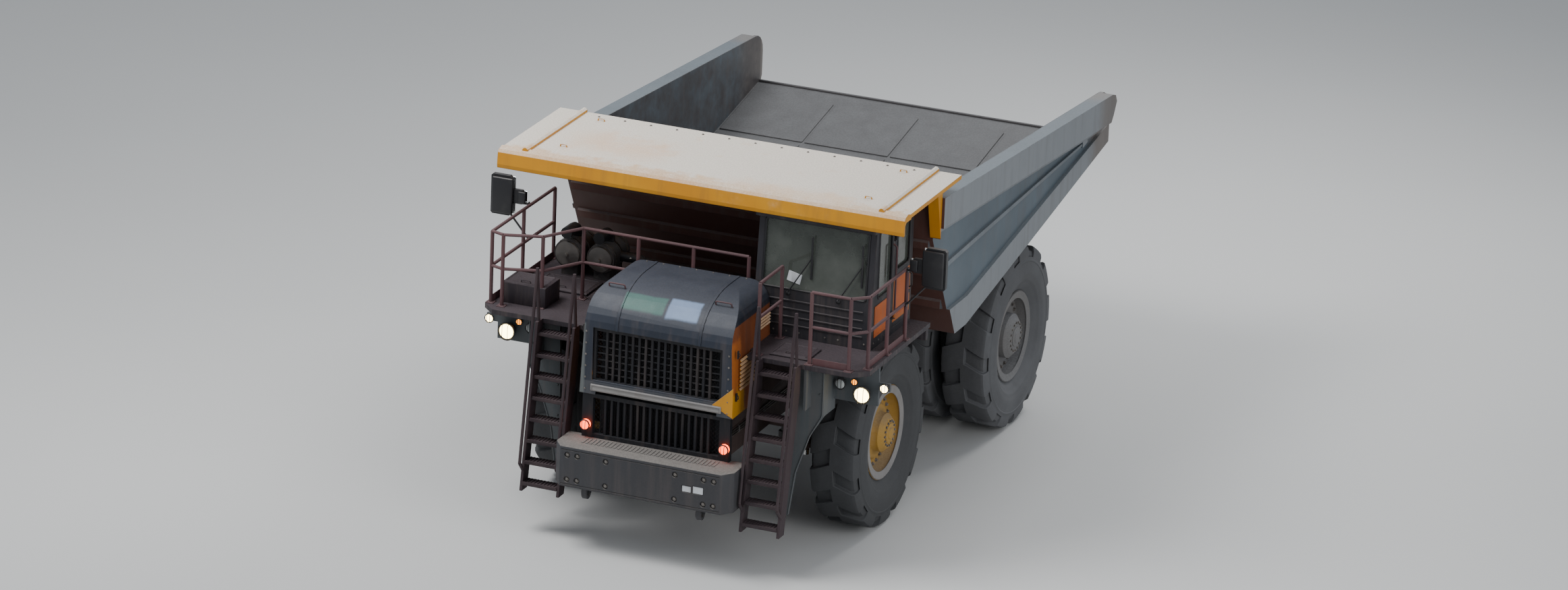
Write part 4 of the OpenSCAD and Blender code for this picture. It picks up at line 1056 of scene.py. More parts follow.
@dataclass(frozen=True)
class Nose:
    """Bumper, guard, grille and hood."""

    bumper_front: float = -5.30
    bumper_z: tuple[float, float] = (0.93, 1.52)
    hood_front: float = -4.83
    crown_arc: tuple[float, float, float, float] = (-3.90, 3.15, 0.93, 0.60)
    crown_points: int = 9
    wire: float = 0.007

    def screen(self, name: str, low: tuple[float, float], high: tuple[float, float], y: float, cell: float) -> None:
        """A woven wire screen that faces forward.

        Args:
            name: the piece's name.
            low: its lowest x and z.
            high: its highest x and z.
            y: where it stands.
            cell: width of a mesh.
        """
        wide, tall = high[0] - low[0], high[1] - low[1]
        Shape.alone()
        bpy.ops.mesh.primitive_grid_add(
            x_subdivisions=round(wide / cell), y_subdivisions=round(tall / cell), size=1, location=(0, 0, 0))
        shape = Shape(name)
        with shape.edit():
            bpy.ops.mesh.select_all(action="SELECT")
            bpy.ops.mesh.poke()
            shape.pick(Part.EDGE, lambda a, b: abs((a - b).x) < 1e-4 or abs((a - b).y) < 1e-4)
            bpy.ops.mesh.dissolve_edges(use_verts=False)
        place = at((low[0] + high[0]) / 2, y, (low[1] + high[1]) / 2, Way.FRONT)
        shape.move(place @ Matrix.Diagonal((wide, tall, 1, 1)))
        shape.modify("WIREFRAME", thickness=self.wire, use_replace=True, use_even_offset=False)
        shape.dress("mesh")

    def grilles(self) -> None:
        """Screens of the grille and the guard, with the radiator core behind them."""
        self.screen("grille_screen", (-0.975, 2.385), (0.975, 3.145), -4.748, 0.055)
        self.screen("guard_screen", (-1.09, 1.54), (1.09, 2.15), -4.735, 0.065)
        core = Shape.box("radiator_core", (-0.90, -4.675, 1.54), (0.90, -4.63, 3.12), 0.01)
        core.inset(Way.FRONT, 0.05, -0.02)
        fins = Shape.box("radiator_fins", (-0.85, -4.672, 1.60), (-0.842, -4.65, 3.06), 0.002)
        core.join(fins.spread([at(x) for x in between(0, 1.692, 58)])).dress("mesh")

    def bumper(self) -> None:
        """The bumper with sunk bolts, seams and blank plates, its towing lugs and its treads."""
        y, (low, high) = self.bumper_front, self.bumper_z
        corners = [(-1.34, -4.70), (-1.34, y + 0.17), (-1.21, y), (1.21, y), (1.34, y + 0.17), (1.34, -4.70)]
        shell = Shape.plate("bumper_shell", [(*corner, low) for corner in corners], (0, 0, high - low), 0.010, 2)
        spots = [(x, z) for x in (-1.10, -0.95, -0.52, 0.52, 0.95, 1.10) for z in (1.04, 1.40)]
        pocket = Shape.turned("bolt_pocket", disc(-0.035, 0.035, 0.044), (0, y - 0.009, 0), Way.BACK, 20)
        pocket.spread([at(x, 0, z) for x, z in spots])
        hollows = [Shape.box("seam_pocket", (-1.19, y - 0.02, z - 0.006), (1.19, y + 0.008, z + 0.006))
                   for z in (0.972, 1.474)]
        for x, width, height in ((0.70, 0.13, 0.085), (0.87, 0.15, 0.10)):
            x0, x1, z0, z1 = x - width / 2, x + width / 2, 1.18, 1.18 + height
            hollows.append(Shape.box("sign_pocket", (x0 - 0.008, y - 0.02, z0 - 0.008),
                                     (x1 + 0.008, y + 0.012, z1 + 0.008)))
            plate = Shape.box(f"blank_plate_{round(x * 100)}", (x0, y + 0.002, z0), (x1, y + 0.014, z1), 0.003)
            plate.inset(Way.FRONT, 0.006, -0.002).dress("white_paint", slot="bumper_paint")
        shell.cut(pocket.join(*hollows))
        eye = (y + 0.15, low - 0.09)
        rim = [(0.82, eye[0] + dy, eye[1] + dz) for dy, dz in arc(0.09, *between(180, 300, 9))]
        lug = Shape.plate("towing_lug", [(0.82, y + 0.34, low + 0.02), (0.82, y + 0.06, low + 0.02), *rim],
                          (0.08, 0, 0), 0.006)
        lug.cut(Shape.turned("lug_bore", disc(-0.1, 0.1, 0.045), (0.86, *eye), Way.LEFT, 24))
        shell.join(lug.both_sides()).dress("bumper_paint")
        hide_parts("bumper")
        head = bolt("bumper_bolts", 0.022, 0.022)
        head.spread([at(x, y + 0.025, z, Way.FRONT) for x, z in spots]).dress("bolt_steel", slot="bumper_paint")
        tread = Shape.box("bumper_treads", (-1.0, -5.06, 1.515), (-0.965, -4.86, 1.529), 0.004)
        tread.spread([at(x) for x in between(0, 1.965, 34)]).dress("bumper_paint")

    def crown(self, x: float, lift: float) -> list[Point]:
        """Points along the hood's top and front from its rear end, at one x and a height over the sheet."""
        y, z, length, height = self.crown_arc
        turn = [math.pi / 2 * (1 + i / (self.crown_points - 1)) for i in range(self.crown_points)]
        return [(x, -3.49, z + height + lift)] + [
            (x, y + (length + lift) * math.cos(t), z + (height + lift) * math.sin(t)) for t in turn]

    def hood(self) -> None:
        """Raised seams, lifting eyes, latches, louvres and bolts of the hood."""
        seams = Shape.group("hood_seams", [
            Shape.plate("hood_seam", self.crown(x, -0.004) + self.crown(x, 0.010)[::-1], (0.04, 0, 0))
            for x in (-0.64, 0.60)])
        seams.dress("hood_paint", smooth=0.9)
        for name, y, foot, top, out, length, rise, count in (
            ("hood_louvres", -4.10, 2.52, 2.56, 1.172, 0.52, 0.42, 8),
            ("deck_louvres", -3.60, 3.20, 3.23, 1.168, 0.42, 0.18, 5),
        ):
            outline = [(1.148, y, foot), (1.148, y, top), (out, y, foot + 0.005)]
            slat = Shape.plate(name, outline, (0, -length, 0), 0.003)
            slat.spread([at(z=z) for z in between(0, rise, count)]).both_sides().dress("yellow_paint")
        latch = Shape.box("hood_latches", (1.146, -4.74, 3.02), (1.166, -4.70, 3.14), 0.006, 2)
        grip = Shape.grip("latch_grip", (1.150, -4.72, 3.04), (1.150, -4.72, 3.12), (0.035, 0, 0), 0.006, 0.01, 0.02)
        latch.join(grip).spread([at(), at(z=-0.62)]).both_sides().dress("black_plastic", slot="hood_paint")
        eye = Shape.grip("hood_handles", (-0.12, -4.42, 3.62), (0.12, -4.42, 3.62), (0, -0.03, 0.08), 0.011, 0.03)
        eye.spread([at(-0.8), at(0.8)]).dress("rail_paint")
        head = bolt("hood_bolts", 0.011, 0.010)
        head.spread([at(x, -3.53, 3.75) for x in between(-1.0, 1.0, 9)]
                    + [at(x, self.hood_front, z, Way.FRONT) for x in (-1.07, 1.07) for z in between(2.24, 3.08, 6)])
        head.dress("bolt_steel", slot="hood_paint")

    def corner_plates(self) -> None:
        """Yellow corner plate and the grey bar under the grille."""
        y = self.hood_front
        corner = Shape.plate("corner_plate", [(x, y - 0.006, z) for x, z in ((1.15, 2.62), (1.15, 2.18), (0.84, 2.33))],
                             (0, 0.008, 0), 0.002)
        corner.dress("yellow_paint")
        bar = Shape.box("grille_bar", (-0.98, y - 0.022, 2.225), (0.98, y + 0.004, 2.325), 0.008, 2)
        bar.inset(Way.FRONT, 0.02, -0.004).dress("rim_pale", slot="hood_paint")

    def build(self) -> None:
        """Makes every piece of the nose."""
        self.corner_plates()
        self.grilles()
        self.bumper()
        self.hood()


@dataclass(frozen=True)
class Lamps:
    """Lenses, bezels and guards of the head lamps and the marker lamps."""

    panel_y: float = -3.79
    heads: tuple[tuple[float, float, float, str], ...] = (
        (2.34, 2.59, 0.075, "lamp_clear"), (2.535, 2.64, 0.045, "lamp_amber"), (2.685, 2.50, 0.12, "lamp_white"),
        (2.985, 2.625, 0.062, "lamp_white"))
    marker: tuple[float, float, float, float] = (1.045, -4.86, 1.71, 0.07)
    dome: tuple[Point, ...] = ((0.08, 0.88), (0.22, 0.62), (0.28, 0.3), (0.3, 0))
    rim: tuple[Point, ...] = ((0.12, 1.12), (0.16, 1.04), (0.1, 0.9))

    def lens(self, name: str, x: float, y: float, z: float, r: float, finish: str) -> None:
        """A domed lens in a bezel with two guard bars, on a lamp that looks forward.

        Args:
            name: the lamp's name.
            x: place across the truck.
            y: place along it.
            z: height.
            r: the lens's radius.
            finish: the lens's finish.
        """
        slot = "lamp_red" if finish == "lamp_red" else "lamp_white"
        dome = [(-0.002, 0), (-0.002, r * 0.9), *((a * r, b * r) for a, b in self.dome)]
        Shape.turned(name + "_lens", dome, (x, y, z), Way.FRONT).dress(finish, slot=slot)
        rim = [(-0.01, r * 0.88), (-0.01, r * 1.10), *((a * r, b * r) for a, b in self.rim)]
        bezel = Shape.turned(name + "_bezel", rim, (x, y, z), Way.FRONT, closed=True)
        guard = [Shape.grip(name + "_guard", (x + dx, y, z - r * 1.05), (x + dx, y, z + r * 1.05), (0, -r * 0.55, 0),
                            0.005, 0.02, r * 0.25, 6) for dx in (-r * 0.35, r * 0.35)]
        bezel.join(*guard).dress("black_plastic", slot=slot)

    def build(self) -> None:
        """Makes the lamps' pieces on both sides."""
        for side in Side:
            for number, (x, z, r, finish) in enumerate(self.heads):
                self.lens(f"head_lamp_{side.word}_{number}", side.value * x, self.panel_y - 1.05 * r, z, r, finish)
            x, y, z, r = self.marker
            self.lens(f"marker_lamp_{side.word}", side.value * x, y, z, r, "lamp_red")


@dataclass(frozen=True)
class Cab:
    """Seals, wipers, handles, seat and fittings of the cab and its door."""

    front: float = -3.45
    sill: float = 3.68
    head: float = 4.65
    out: float = 2.601

    def glass_y(self, z: float) -> float:
        """Place of the leaning windscreen's outer face at a height."""
        return self.front + 0.02 + max(0.0, z - 3.65) * 0.08

    def seal(self, name: str, corners: Sequence[Point], radius: float = 0.014, body: str = "chassis") -> None:
        """A rubber seal round a pane.

        Args:
            name: the piece's name.
            corners: the pane's four corners.
            radius: the seal's radius.
            body: the CAD body that it rides on.
        """
        middle = [(a + b) / 2 for a, b in zip(corners[0], corners[1])]
        Shape.pipe(name, [middle, *corners[1:], corners[0], middle], radius, 0.05).dress("black_plastic", body)

    def seals(self) -> None:
        """Rubber seals round the fixed panes."""
        s, h = self.sill, self.head
        self.seal("windscreen_seal", [(x, self.glass_y(z) - 0.02, z)
                                      for x, z in ((0.955, s), (2.495, s), (2.495, h), (0.955, h))])
        for name, x, y0, y1, foot in (("inner_side", 0.849, -3.19, -2.15, 3.9),
                                      ("outer_side", self.out, -3.26, -2.78, s)):
            self.seal(name + "_seal", [(x, y0, foot), (x, y1, foot), (x, y1, h), (x, y0, h)])
        self.seal("rear_seal", [(x, -1.989, z) for x, z in ((1.1, 3.9), (2.35, 3.9), (2.35, 4.59), (1.1, 4.59))])

    def wipers(self) -> None:
        """Two wiper arms with blades, and a blank card in its holder at the foot of the windscreen."""
        arms, pivot = [], ((-0.01, 0), (-0.01, 0.035), (0.03, 0.03), (0.04, 0.012), (0.04, 0))
        for foot in (1.35, 2.10):
            tip, y0, y1, glass = foot + 0.32, self.glass_y(3.62) - 0.045, self.glass_y(4.30) - 0.03, self.glass_y(4.0)
            arms += [Shape.pipe("wiper", [(foot, y0 + 0.02, 3.62), (foot, y0, 3.64), (tip, y1, 4.18)], 0.009, 0.02),
                     Shape.box("blade", (tip - 0.012, glass - 0.03, 3.86), (tip + 0.012, glass - 0.004, 4.48), 0.004),
                     Shape.turned("wiper_pivot", pivot, (foot, y0 + 0.03, 3.62), Way.FRONT, 16)]
        Shape.group("wipers", arms).dress("black_plastic")
        card = Shape.box("blank_card", (-0.10, 0.0, -0.075), (0.10, 0.010, 0.075), 0.002)
        place = at(1.42, self.glass_y(3.85) - 0.012, 3.85) @ Matrix.Rotation(0.22, 4, "Y")
        card.inset(Way.FRONT, 0.010, -0.001).move(place).dress("white_paint", slot="cab_trim")

    def shell(self) -> None:
        """Grab bars, bolts, ribs on the front and the orange side panel."""
        bars = [Shape.grip("grab", (x, y, 3.30), (x, y, 4.33), (reach, 0, 0), 0.014, 0.04, 0.03, 10)
                for x, y, reach in ((2.595, -2.735, 0.06), (0.855, -2.06, -0.055))]
        Shape.group("cab_grab_bars", bars).dress("rail_paint")
        head = bolt("cab_bolts", 0.011, 0.009)
        head.spread([at(x, self.front, 3.06, Way.FRONT) for x in between(0.95, 2.5, 9)]
                    + [at(2.60, y, 3.06, Way.LEFT) for y in between(-3.35, -2.80, 4)]
                    + [at(x, -1.99, z, Way.BACK) for x in between(0.95, 2.5, 6) for z in (3.06, 3.7)])
        head.dress("bolt_steel", slot="cab_paint")
        rib = Shape.box("cab_front_ribs", (0.98, -3.462, 3.14), (2.47, -3.446, 3.17), 0.006)
        rib.spread([at(z=z) for z in (0, 0.12, 0.24, 0.36)]).dress("cab_paint")
        side = Shape.box("cab_side_panel", (2.597, -3.36, 3.14), (2.612, -2.82, 3.60), 0.006)
        side.inset(Way.LEFT, 0.03, -0.006).dress("side_orange", slot="yellow_paint")

    def door(self) -> None:
        """Seal, handle, lock and pressed panel of the door, which swing with it."""
        self.seal("door_window_seal", [(self.out, y, z) for y, z in (
            (-2.58, 3.9), (-2.12, 3.9), (-2.12, 4.53), (-2.58, 4.53))], 0.013, "door")
        panel = Shape.box("door_pressing", (2.597, -2.60, 3.20), (2.608, -2.10, 3.78), 0.005)
        panel.inset(Way.LEFT, 0.04, -0.005).dress("side_orange", "door", "yellow_paint")
        x, y = 2.60, -2.085
        handle = Shape.grip("door_handle", (x, y, 3.50), (x, y, 3.72), (0.045, 0, 0), 0.010, 0.03, 0.02, 10)
        lock = Shape.turned("door_lock", ((-0.004, 0), (-0.004, 0.026), (0.010, 0.026), (0.014, 0.018), (0.014, 0)),
                            (x, y, 3.44), Way.LEFT, 20)
        handle.join(lock).dress("black_plastic", "door")

    def seat(self) -> None:
        """Cushion and back of the driver's seat, stuffed and sewn in two rolls."""
        for name, low, high, lean in (
            ("seat_cushion", (1.45, -2.84, 3.47), (1.95, -2.33, 3.56), 0.0),
            ("seat_back", (1.47, -2.46, 3.53), (1.93, -2.36, 4.08), -0.14),
        ):
            pad = Shape.box(name, low, high)
            with pad.edit():
                bpy.ops.mesh.select_all(action="SELECT")
                bpy.ops.mesh.subdivide(number_cuts=5)
            centre, seam = [(a + b) / 2 for a, b in zip(low, high)], (high[0] - low[0]) / 6
            with pad.edit():
                pad.pick(Part.VERT, lambda place: abs(abs(place.x - centre[0]) - seam) < 0.01)
                bpy.ops.transform.resize(value=(1.0, 0.96, 0.96), center_override=centre)
            pad.modify("SUBSURF", levels=2, render_levels=2)
            if lean:
                pad.move(at(*centre) @ Matrix.Rotation(lean, 4, "X") @ at(*(-c for c in centre)))
            pad.dress("seat_cloth", slot="cab_trim", smooth=1.2)

    def mirrors(self) -> None:
        """Silvered faces and ribbed shells of the mirrors."""
        shell = Shape.box("mirror_shells", (3.10, -2.925, 3.85), (3.42, -2.88, 4.38), 0.035, 3)
        small = Shape.box("small_shell", (2.91, -2.902, 4.035), (3.025, -2.872, 4.205), 0.02, 3)
        shell.join(small).both_sides().dress("black_plastic")
        face = Shape.box("mirror_faces", (3.095, -2.818, 3.845), (3.425, -2.812, 4.385), 0.002)
        small = Shape.box("small_face", (2.91, -2.828, 4.035), (3.025, -2.822, 4.205), 0.002)
        face.inset(Way.BACK, 0.012, -0.001).join(small).both_sides().dress("mirror_silver", slot="black_plastic")

    def inside(self) -> None:
        """Instrument hood, side console with its levers, pedals and floor mat."""
        hood = Shape.box("instrument_hood", (1.42, -3.33, 3.53), (1.98, -3.16, 3.66), 0.02, 3)
        hood.inset(Way.BACK, 0.02, -0.02)
        console = Shape.box("side_console", (1.12, -2.95, 3.035), (1.36, -2.35, 3.52), 0.02, 3)
        console.inset(Way.UP, 0.02, -0.006)
        pedals = [Shape.box("pedal", (x, -3.10, 3.07), (x + 0.09, -3.07, 3.20), 0.008, 2) for x in (1.55, 1.78)]
        mat = Shape.box("floor_mat", (1.40, -3.10, 3.036), (2.30, -2.15, 3.046), 0.003)
        hood.join(console, *pedals, mat).dress("cab_trim")
        knob = ((-0.01, 0), (-0.01, 0.014), (0.02, 0.024), (0.04, 0.020), (0.052, 0.008), (0.052, 0))
        levers = []
        for x, y in ((1.20, -2.80), (1.28, -2.70)):
            levers += [Shape.pipe("lever", [(x, y, 3.51), (x, y - 0.02, 3.68)], 0.008),
                       Shape.turned("knob", knob, (x, y - 0.02, 3.68), steps=16)]
        Shape.group("levers", levers).dress("black_plastic", slot="cab_trim")

    def build(self) -> None:
        """Makes every piece of the cab."""
        self.inside()
        self.seals()
        self.wipers()
        self.shell()
        self.door()
        self.seat()
        self.mirrors()


@dataclass(frozen=True)
class DeckGear:
    """Toe boards, hatches, post flanges, step gratings, deck ribs, apron edges and air cleaner fittings."""

    top: float = 2.98
    rail_x: float = 2.84
    front: float = -4.34
    foot: tuple[float, float] = (-4.87, 0.60)
    head: tuple[float, float] = (-4.40, 2.98)
    steps: int = 8
    stair_in: float = 1.36
    stair_out: float = 1.96
    post_gap: float = 0.9
    runs: tuple[tuple[float, float, float, float], ...] = (
        (2.84, -4.14, 2.84, -2.78), (2.06, -4.34, 2.64, -4.34), (-2.84, -4.14, -2.84, -2.02),
        (-2.64, -4.21, -2.12, -4.02), (-1.77, -3.41, 0.73, -3.41), (1.29, -4.34, 1.29, -3.55))

    def toe_boards(self) -> None:
        """Kick plates along the deck's edges."""
        x, y, half = self.rail_x, self.front, 0.006
        Shape.group("toe_boards", [
            Shape.box("toe_board", (x0, y0, self.top), (x1, y1, self.top + 0.10), 0.003)
            for x0, x1, y0, y1 in ((x - half, x + half, -4.12, -2.84), (-x - half, -x + half, -4.12, -2.04),
                                   (2.10, 2.64, y - half, y + half))]).dress("rail_paint")

    def hatches(self) -> None:
        """Two hinged access covers and a battery box on the deck."""
        for name, low, high, tall in (
            ("deck_hatch", (-2.60, -3.30), (-1.75, -2.72), 0.035), ("fluid_box", (-2.72, -4.05), (-2.05, -3.55), 0.30),
            ("small_hatch", (1.42, -4.25), (2.0, -3.75), 0.025),
        ):
            cover = Shape.box(name, (*low, self.top - 0.002), (*high, self.top + tall), 0.012, 2)
            cover.inset(Way.UP, 0.04, 0.010)
            x, y, z = (low[0] + high[0]) / 2, low[1] + 0.08, self.top + tall
            cover.join(Shape.grip(name + "_grip", (x - 0.07, y, z), (x + 0.07, y, z), (0, 0, 0.04), 0.007, 0.02))
            cover.dress("deck_paint")

    def gratings(self) -> None:
        """Serrated bars and a raised nose on each tread of the two stairs."""
        bars = []
        for i in range(self.steps):
            y, z = (low + (high - low) * (i + 0.3) / self.steps for low, high in zip(self.foot, self.head))
            z, x0, x1 = z + 0.035, self.stair_in, self.stair_out
            teeth = Shape.box("teeth", (x0 + 0.05, y - 0.09, z - 0.002), (x0 + 0.062, y + 0.10, z + 0.010), 0.002)
            bars += [Shape.box("step", (x0 + 0.045, y - 0.110, z - 0.002), (x1 - 0.045, y - 0.094, z + 0.016), 0.003),
                     teeth.spread([at(x) for x in between(0, 0.488, 11)])]
        Shape.group("step_gratings", bars).both_sides().dress("stair_paint")

    def flanges(self) -> None:
        """Bolted foot of each handrail post."""
        foot = Shape.box("post_flanges", (-0.06, -0.06, -0.002), (0.06, 0.06, 0.012), 0.003)
        corners = [at(x, y, 0.012) for x in (-0.042, 0.042) for y in (-0.042, 0.042)]
        foot.join(bolt("foot_bolt", 0.010, 0.009).spread(corners))
        posts = set()
        for x0, y0, x1, y1 in self.runs:
            n = max(1, round(math.hypot(x1 - x0, y1 - y0) / self.post_gap))
            posts |= {(round(x0 + (x1 - x0) * i / n, 3), round(y0 + (y1 - y0) * i / n, 3)) for i in range(n + 1)}
        foot.spread([at(x, y, self.top) for x, y in sorted(posts)]).dress("rail_paint")

    def under_deck(self) -> None:
        """Stiffening angles under the deck and a rolled edge with bolts on each apron."""
        angle = ((0, 2.912), (0, 2.83), (0.012, 2.83), (0.012, 2.898), (0.07, 2.898), (0.07, 2.912))
        leg = Shape.plate("deck_ribs", [(1.24, y, z) for y, z in angle], (1.60, 0, 0), 0.002)
        leg.spread([at(y=y) for y in (-3.98, -3.55, -3.10, -2.65)]).both_sides().dress("deck_paint")
        rolled = ((1.765, 0.66), (1.85, 1.30), (2.04, 1.87), (2.215, 2.19), (2.215, 2.88))
        edge = Shape.pipe("apron_edges", [(x, -4.172, z) for x, z in rolled], 0.012, 0.05)
        heads = ((1.80, 2.84), (1.78, 2.40), (1.77, 1.95), (1.76, 1.50), (1.74, 1.05), (2.17, 2.84), (2.17, 2.50),
                 (1.98, 2.84))
        edge.join(bolt("apron_bolt", 0.013, 0.012).spread([at(x, -4.17, z, Way.FRONT) for x, z in heads]))
        edge.both_sides().dress("apron_paint")

    def air_cleaners(self) -> None:
        """Bands, end covers and intake ducts of the two air cleaner drums."""
        band = disc(-0.016, 0.016, 0.217, 0.205)
        cover = ((0, 0), (0, 0.19), (0.03, 0.18), (0.045, 0.12), (0.05, 0.03), (0.085, 0.026), (0.09, 0))
        pieces = []
        for x in (-2.35, -1.85):
            pieces += [Shape.turned("drum_band", band, (x, y, 3.31), Way.BACK, 40, closed=True)
                       for y in (-2.54, -2.34, -2.14)]
            pieces.append(Shape.turned("drum_cover", cover, (x, -2.618, 3.31), Way.FRONT, 40))
        Shape.group("air_cleaner_bands", pieces).dress("bolt_steel", slot="steel_dark")
        ducts = [Shape.pipe("duct", [(x, -2.34, z0), (corner, -2.34, z1), end], radius, 0.12, 20)
                 for x, z0, corner, z1, end, radius in (
                     (-2.35, 3.30, -2.35, 3.64, (-2.35, -2.70, 3.64), 0.085),
                     (-1.85, 3.30, -1.85, 3.64, (-1.85, -2.70, 3.64), 0.085),
                     (-1.66, 3.31, -1.30, 3.31, (-1.30, -2.34, 2.97), 0.075))]
        Shape.group("intake_ducts", ducts).dress("black_plastic", slot="steel_dark")

    def build(self) -> None:
        """Makes every piece of the deck and the stairs."""
        self.flanges()
        self.under_deck()
        self.air_cleaners()
        self.toe_boards()
        self.hatches()
        self.gratings()


@dataclass(frozen=True)
class Bed:
    """Liner, welds, strips and lifting plates of the dump bed, its rock ejectors, and the canopy's ribs and edges."""

    floor_low: float = 2.44
    kink: float = -0.38
    slope: float = math.radians(10.9)
    wall_lean: float = 0.49
    tail_bar_y: float = 5.20

    def floor(self, y: float) -> float:
        """Height of the underside of the bed's floor at a place along the truck."""
        return self.floor_low + max(0.0, y - self.kink) * math.tan(self.slope)

    def liner(self) -> None:
        """Wear plates on the floor, each with welded edges."""
        tile = Shape.box("floor_liner", (-0.66, -0.62, 0), (0.66, 0.62, 0.014), 0.006)
        tile.spread([at(x, y, self.floor(y) + 0.062) @ Matrix.Rotation(self.slope, 4, "X")
                     for y in (0.32 + row * 1.31 for row in range(4)) for x in between(-2.04, 2.04, 4)])
        tile.dress("bed_paint", "dump_bed")

    def seams(self) -> None:
        """Weld beads along the foot of the top rails and on the front wall."""
        path = [(2.80, -1.70, 4.30), (2.852, -1.70, 4.305), (2.852, 4.9, 3.918)]
        Shape.pipe("rail_welds", path, 0.009, sides=6).both_sides().dress("bed_paint", "dump_bed")
        strip = Shape.box("wall_strips", (-2.70, -0.02, 0), (2.70, 0.0, 0.12), 0.005)
        strip.spread([at(0, -0.70 - 0.54 * (z - 2.6), z) @ Matrix.Rotation(self.wall_lean, 4, "X")
                      for z in between(2.75, 3.85, 4)])
        strip.dress("bed_paint", "dump_bed")

    def canopy(self) -> None:
        """Ribs under the canopy, lifting eyes, edge strips and bolts on it."""
        corners = ((-0.035, 4.905), (0.035, 4.905), (0.035, 4.962), (-0.035, 4.962))
        rib = Shape.plate("canopy_ribs", [(x, -3.40, z) for x, z in corners], (0, 1.90, 0), 0.006)
        rib.spread([at(x) for x in between(-2.5, 2.5, 7)]).dress("yellow_paint", "dump_bed")
        eye = Shape.grip("lifting_eyes", (-0.05, 0, 5.01), (0.05, 0, 5.01), (0, 0, 0.045), 0.010, 0.03, 0.005)
        eye.spread([at(x, y) for x in (-2.3, 2.3) for y in (-3.0, -1.7)]).dress("yellow_paint", "dump_bed")
        edge = Shape.pipe("canopy_edges", [(3.045, -3.33, 4.99), (3.045, -1.44, 4.99)], 0.014)
        edge.both_sides().dress("yellow_paint", "dump_bed")
        heads = bolt("canopy_bolts", 0.014, 0.012)
        heads.spread([at(x, -1.55, 5.02) for x in between(-2.4, 2.4, 13)]
                     + [at(x, -3.522, 4.83, Way.BACK) for x in between(-2.8, 2.8, 9)])
        heads.dress("bolt_steel", "dump_bed", "yellow_paint")

    def fittings(self) -> None:
        """Wear bar on the tail, rock ejectors between the rear tyres and lifting plates on the sides."""
        y = self.tail_bar_y
        bar = Shape.pipe("tail_bar", [(x, y, self.floor(y) + 0.068) for x in (-2.72, 2.72)], 0.022, sides=10)
        bar.dress("bed_paint", "dump_bed")
        outline = ((2.98, 3.08), (3.10, 3.10), (3.06, 2.20), (2.99, 1.96), (2.94, 1.98), (2.95, 2.25))
        hanger = Shape.plate("rock_ejectors", [(1.825, y, z) for y, z in outline], (0.05, 0, 0), 0.006)
        stop = Shape.box("ejector_foot", (1.80, 2.95, 3.02), (1.90, 3.13, 3.06), 0.006)
        hanger.join(stop).both_sides().dress("steel_dark", "dump_bed", "dark_frame")
        outline = ((3.98, 3.93), (4.14, 3.93), (4.14, 4.03), (4.06, 4.08), (3.98, 4.03))
        lug = Shape.plate("side_eyes", [(2.785, y, z) for y, z in outline], (0.035, 0, 0), 0.006)
        boss = Shape.turned("side_boss", ((0, 0.018), (0, 0.042), (0.014, 0.042), (0.018, 0.036), (0.018, 0.018)),
                            (2.818, 4.06, 3.99), Way.LEFT, 24, closed=True)
        lug.join(boss).both_sides().dress("steel_dark", "dump_bed", "bed_paint")

    def build(self) -> None:
        """Makes every piece of the bed."""
        self.canopy()
        self.fittings()
        self.liner()
        self.seams()


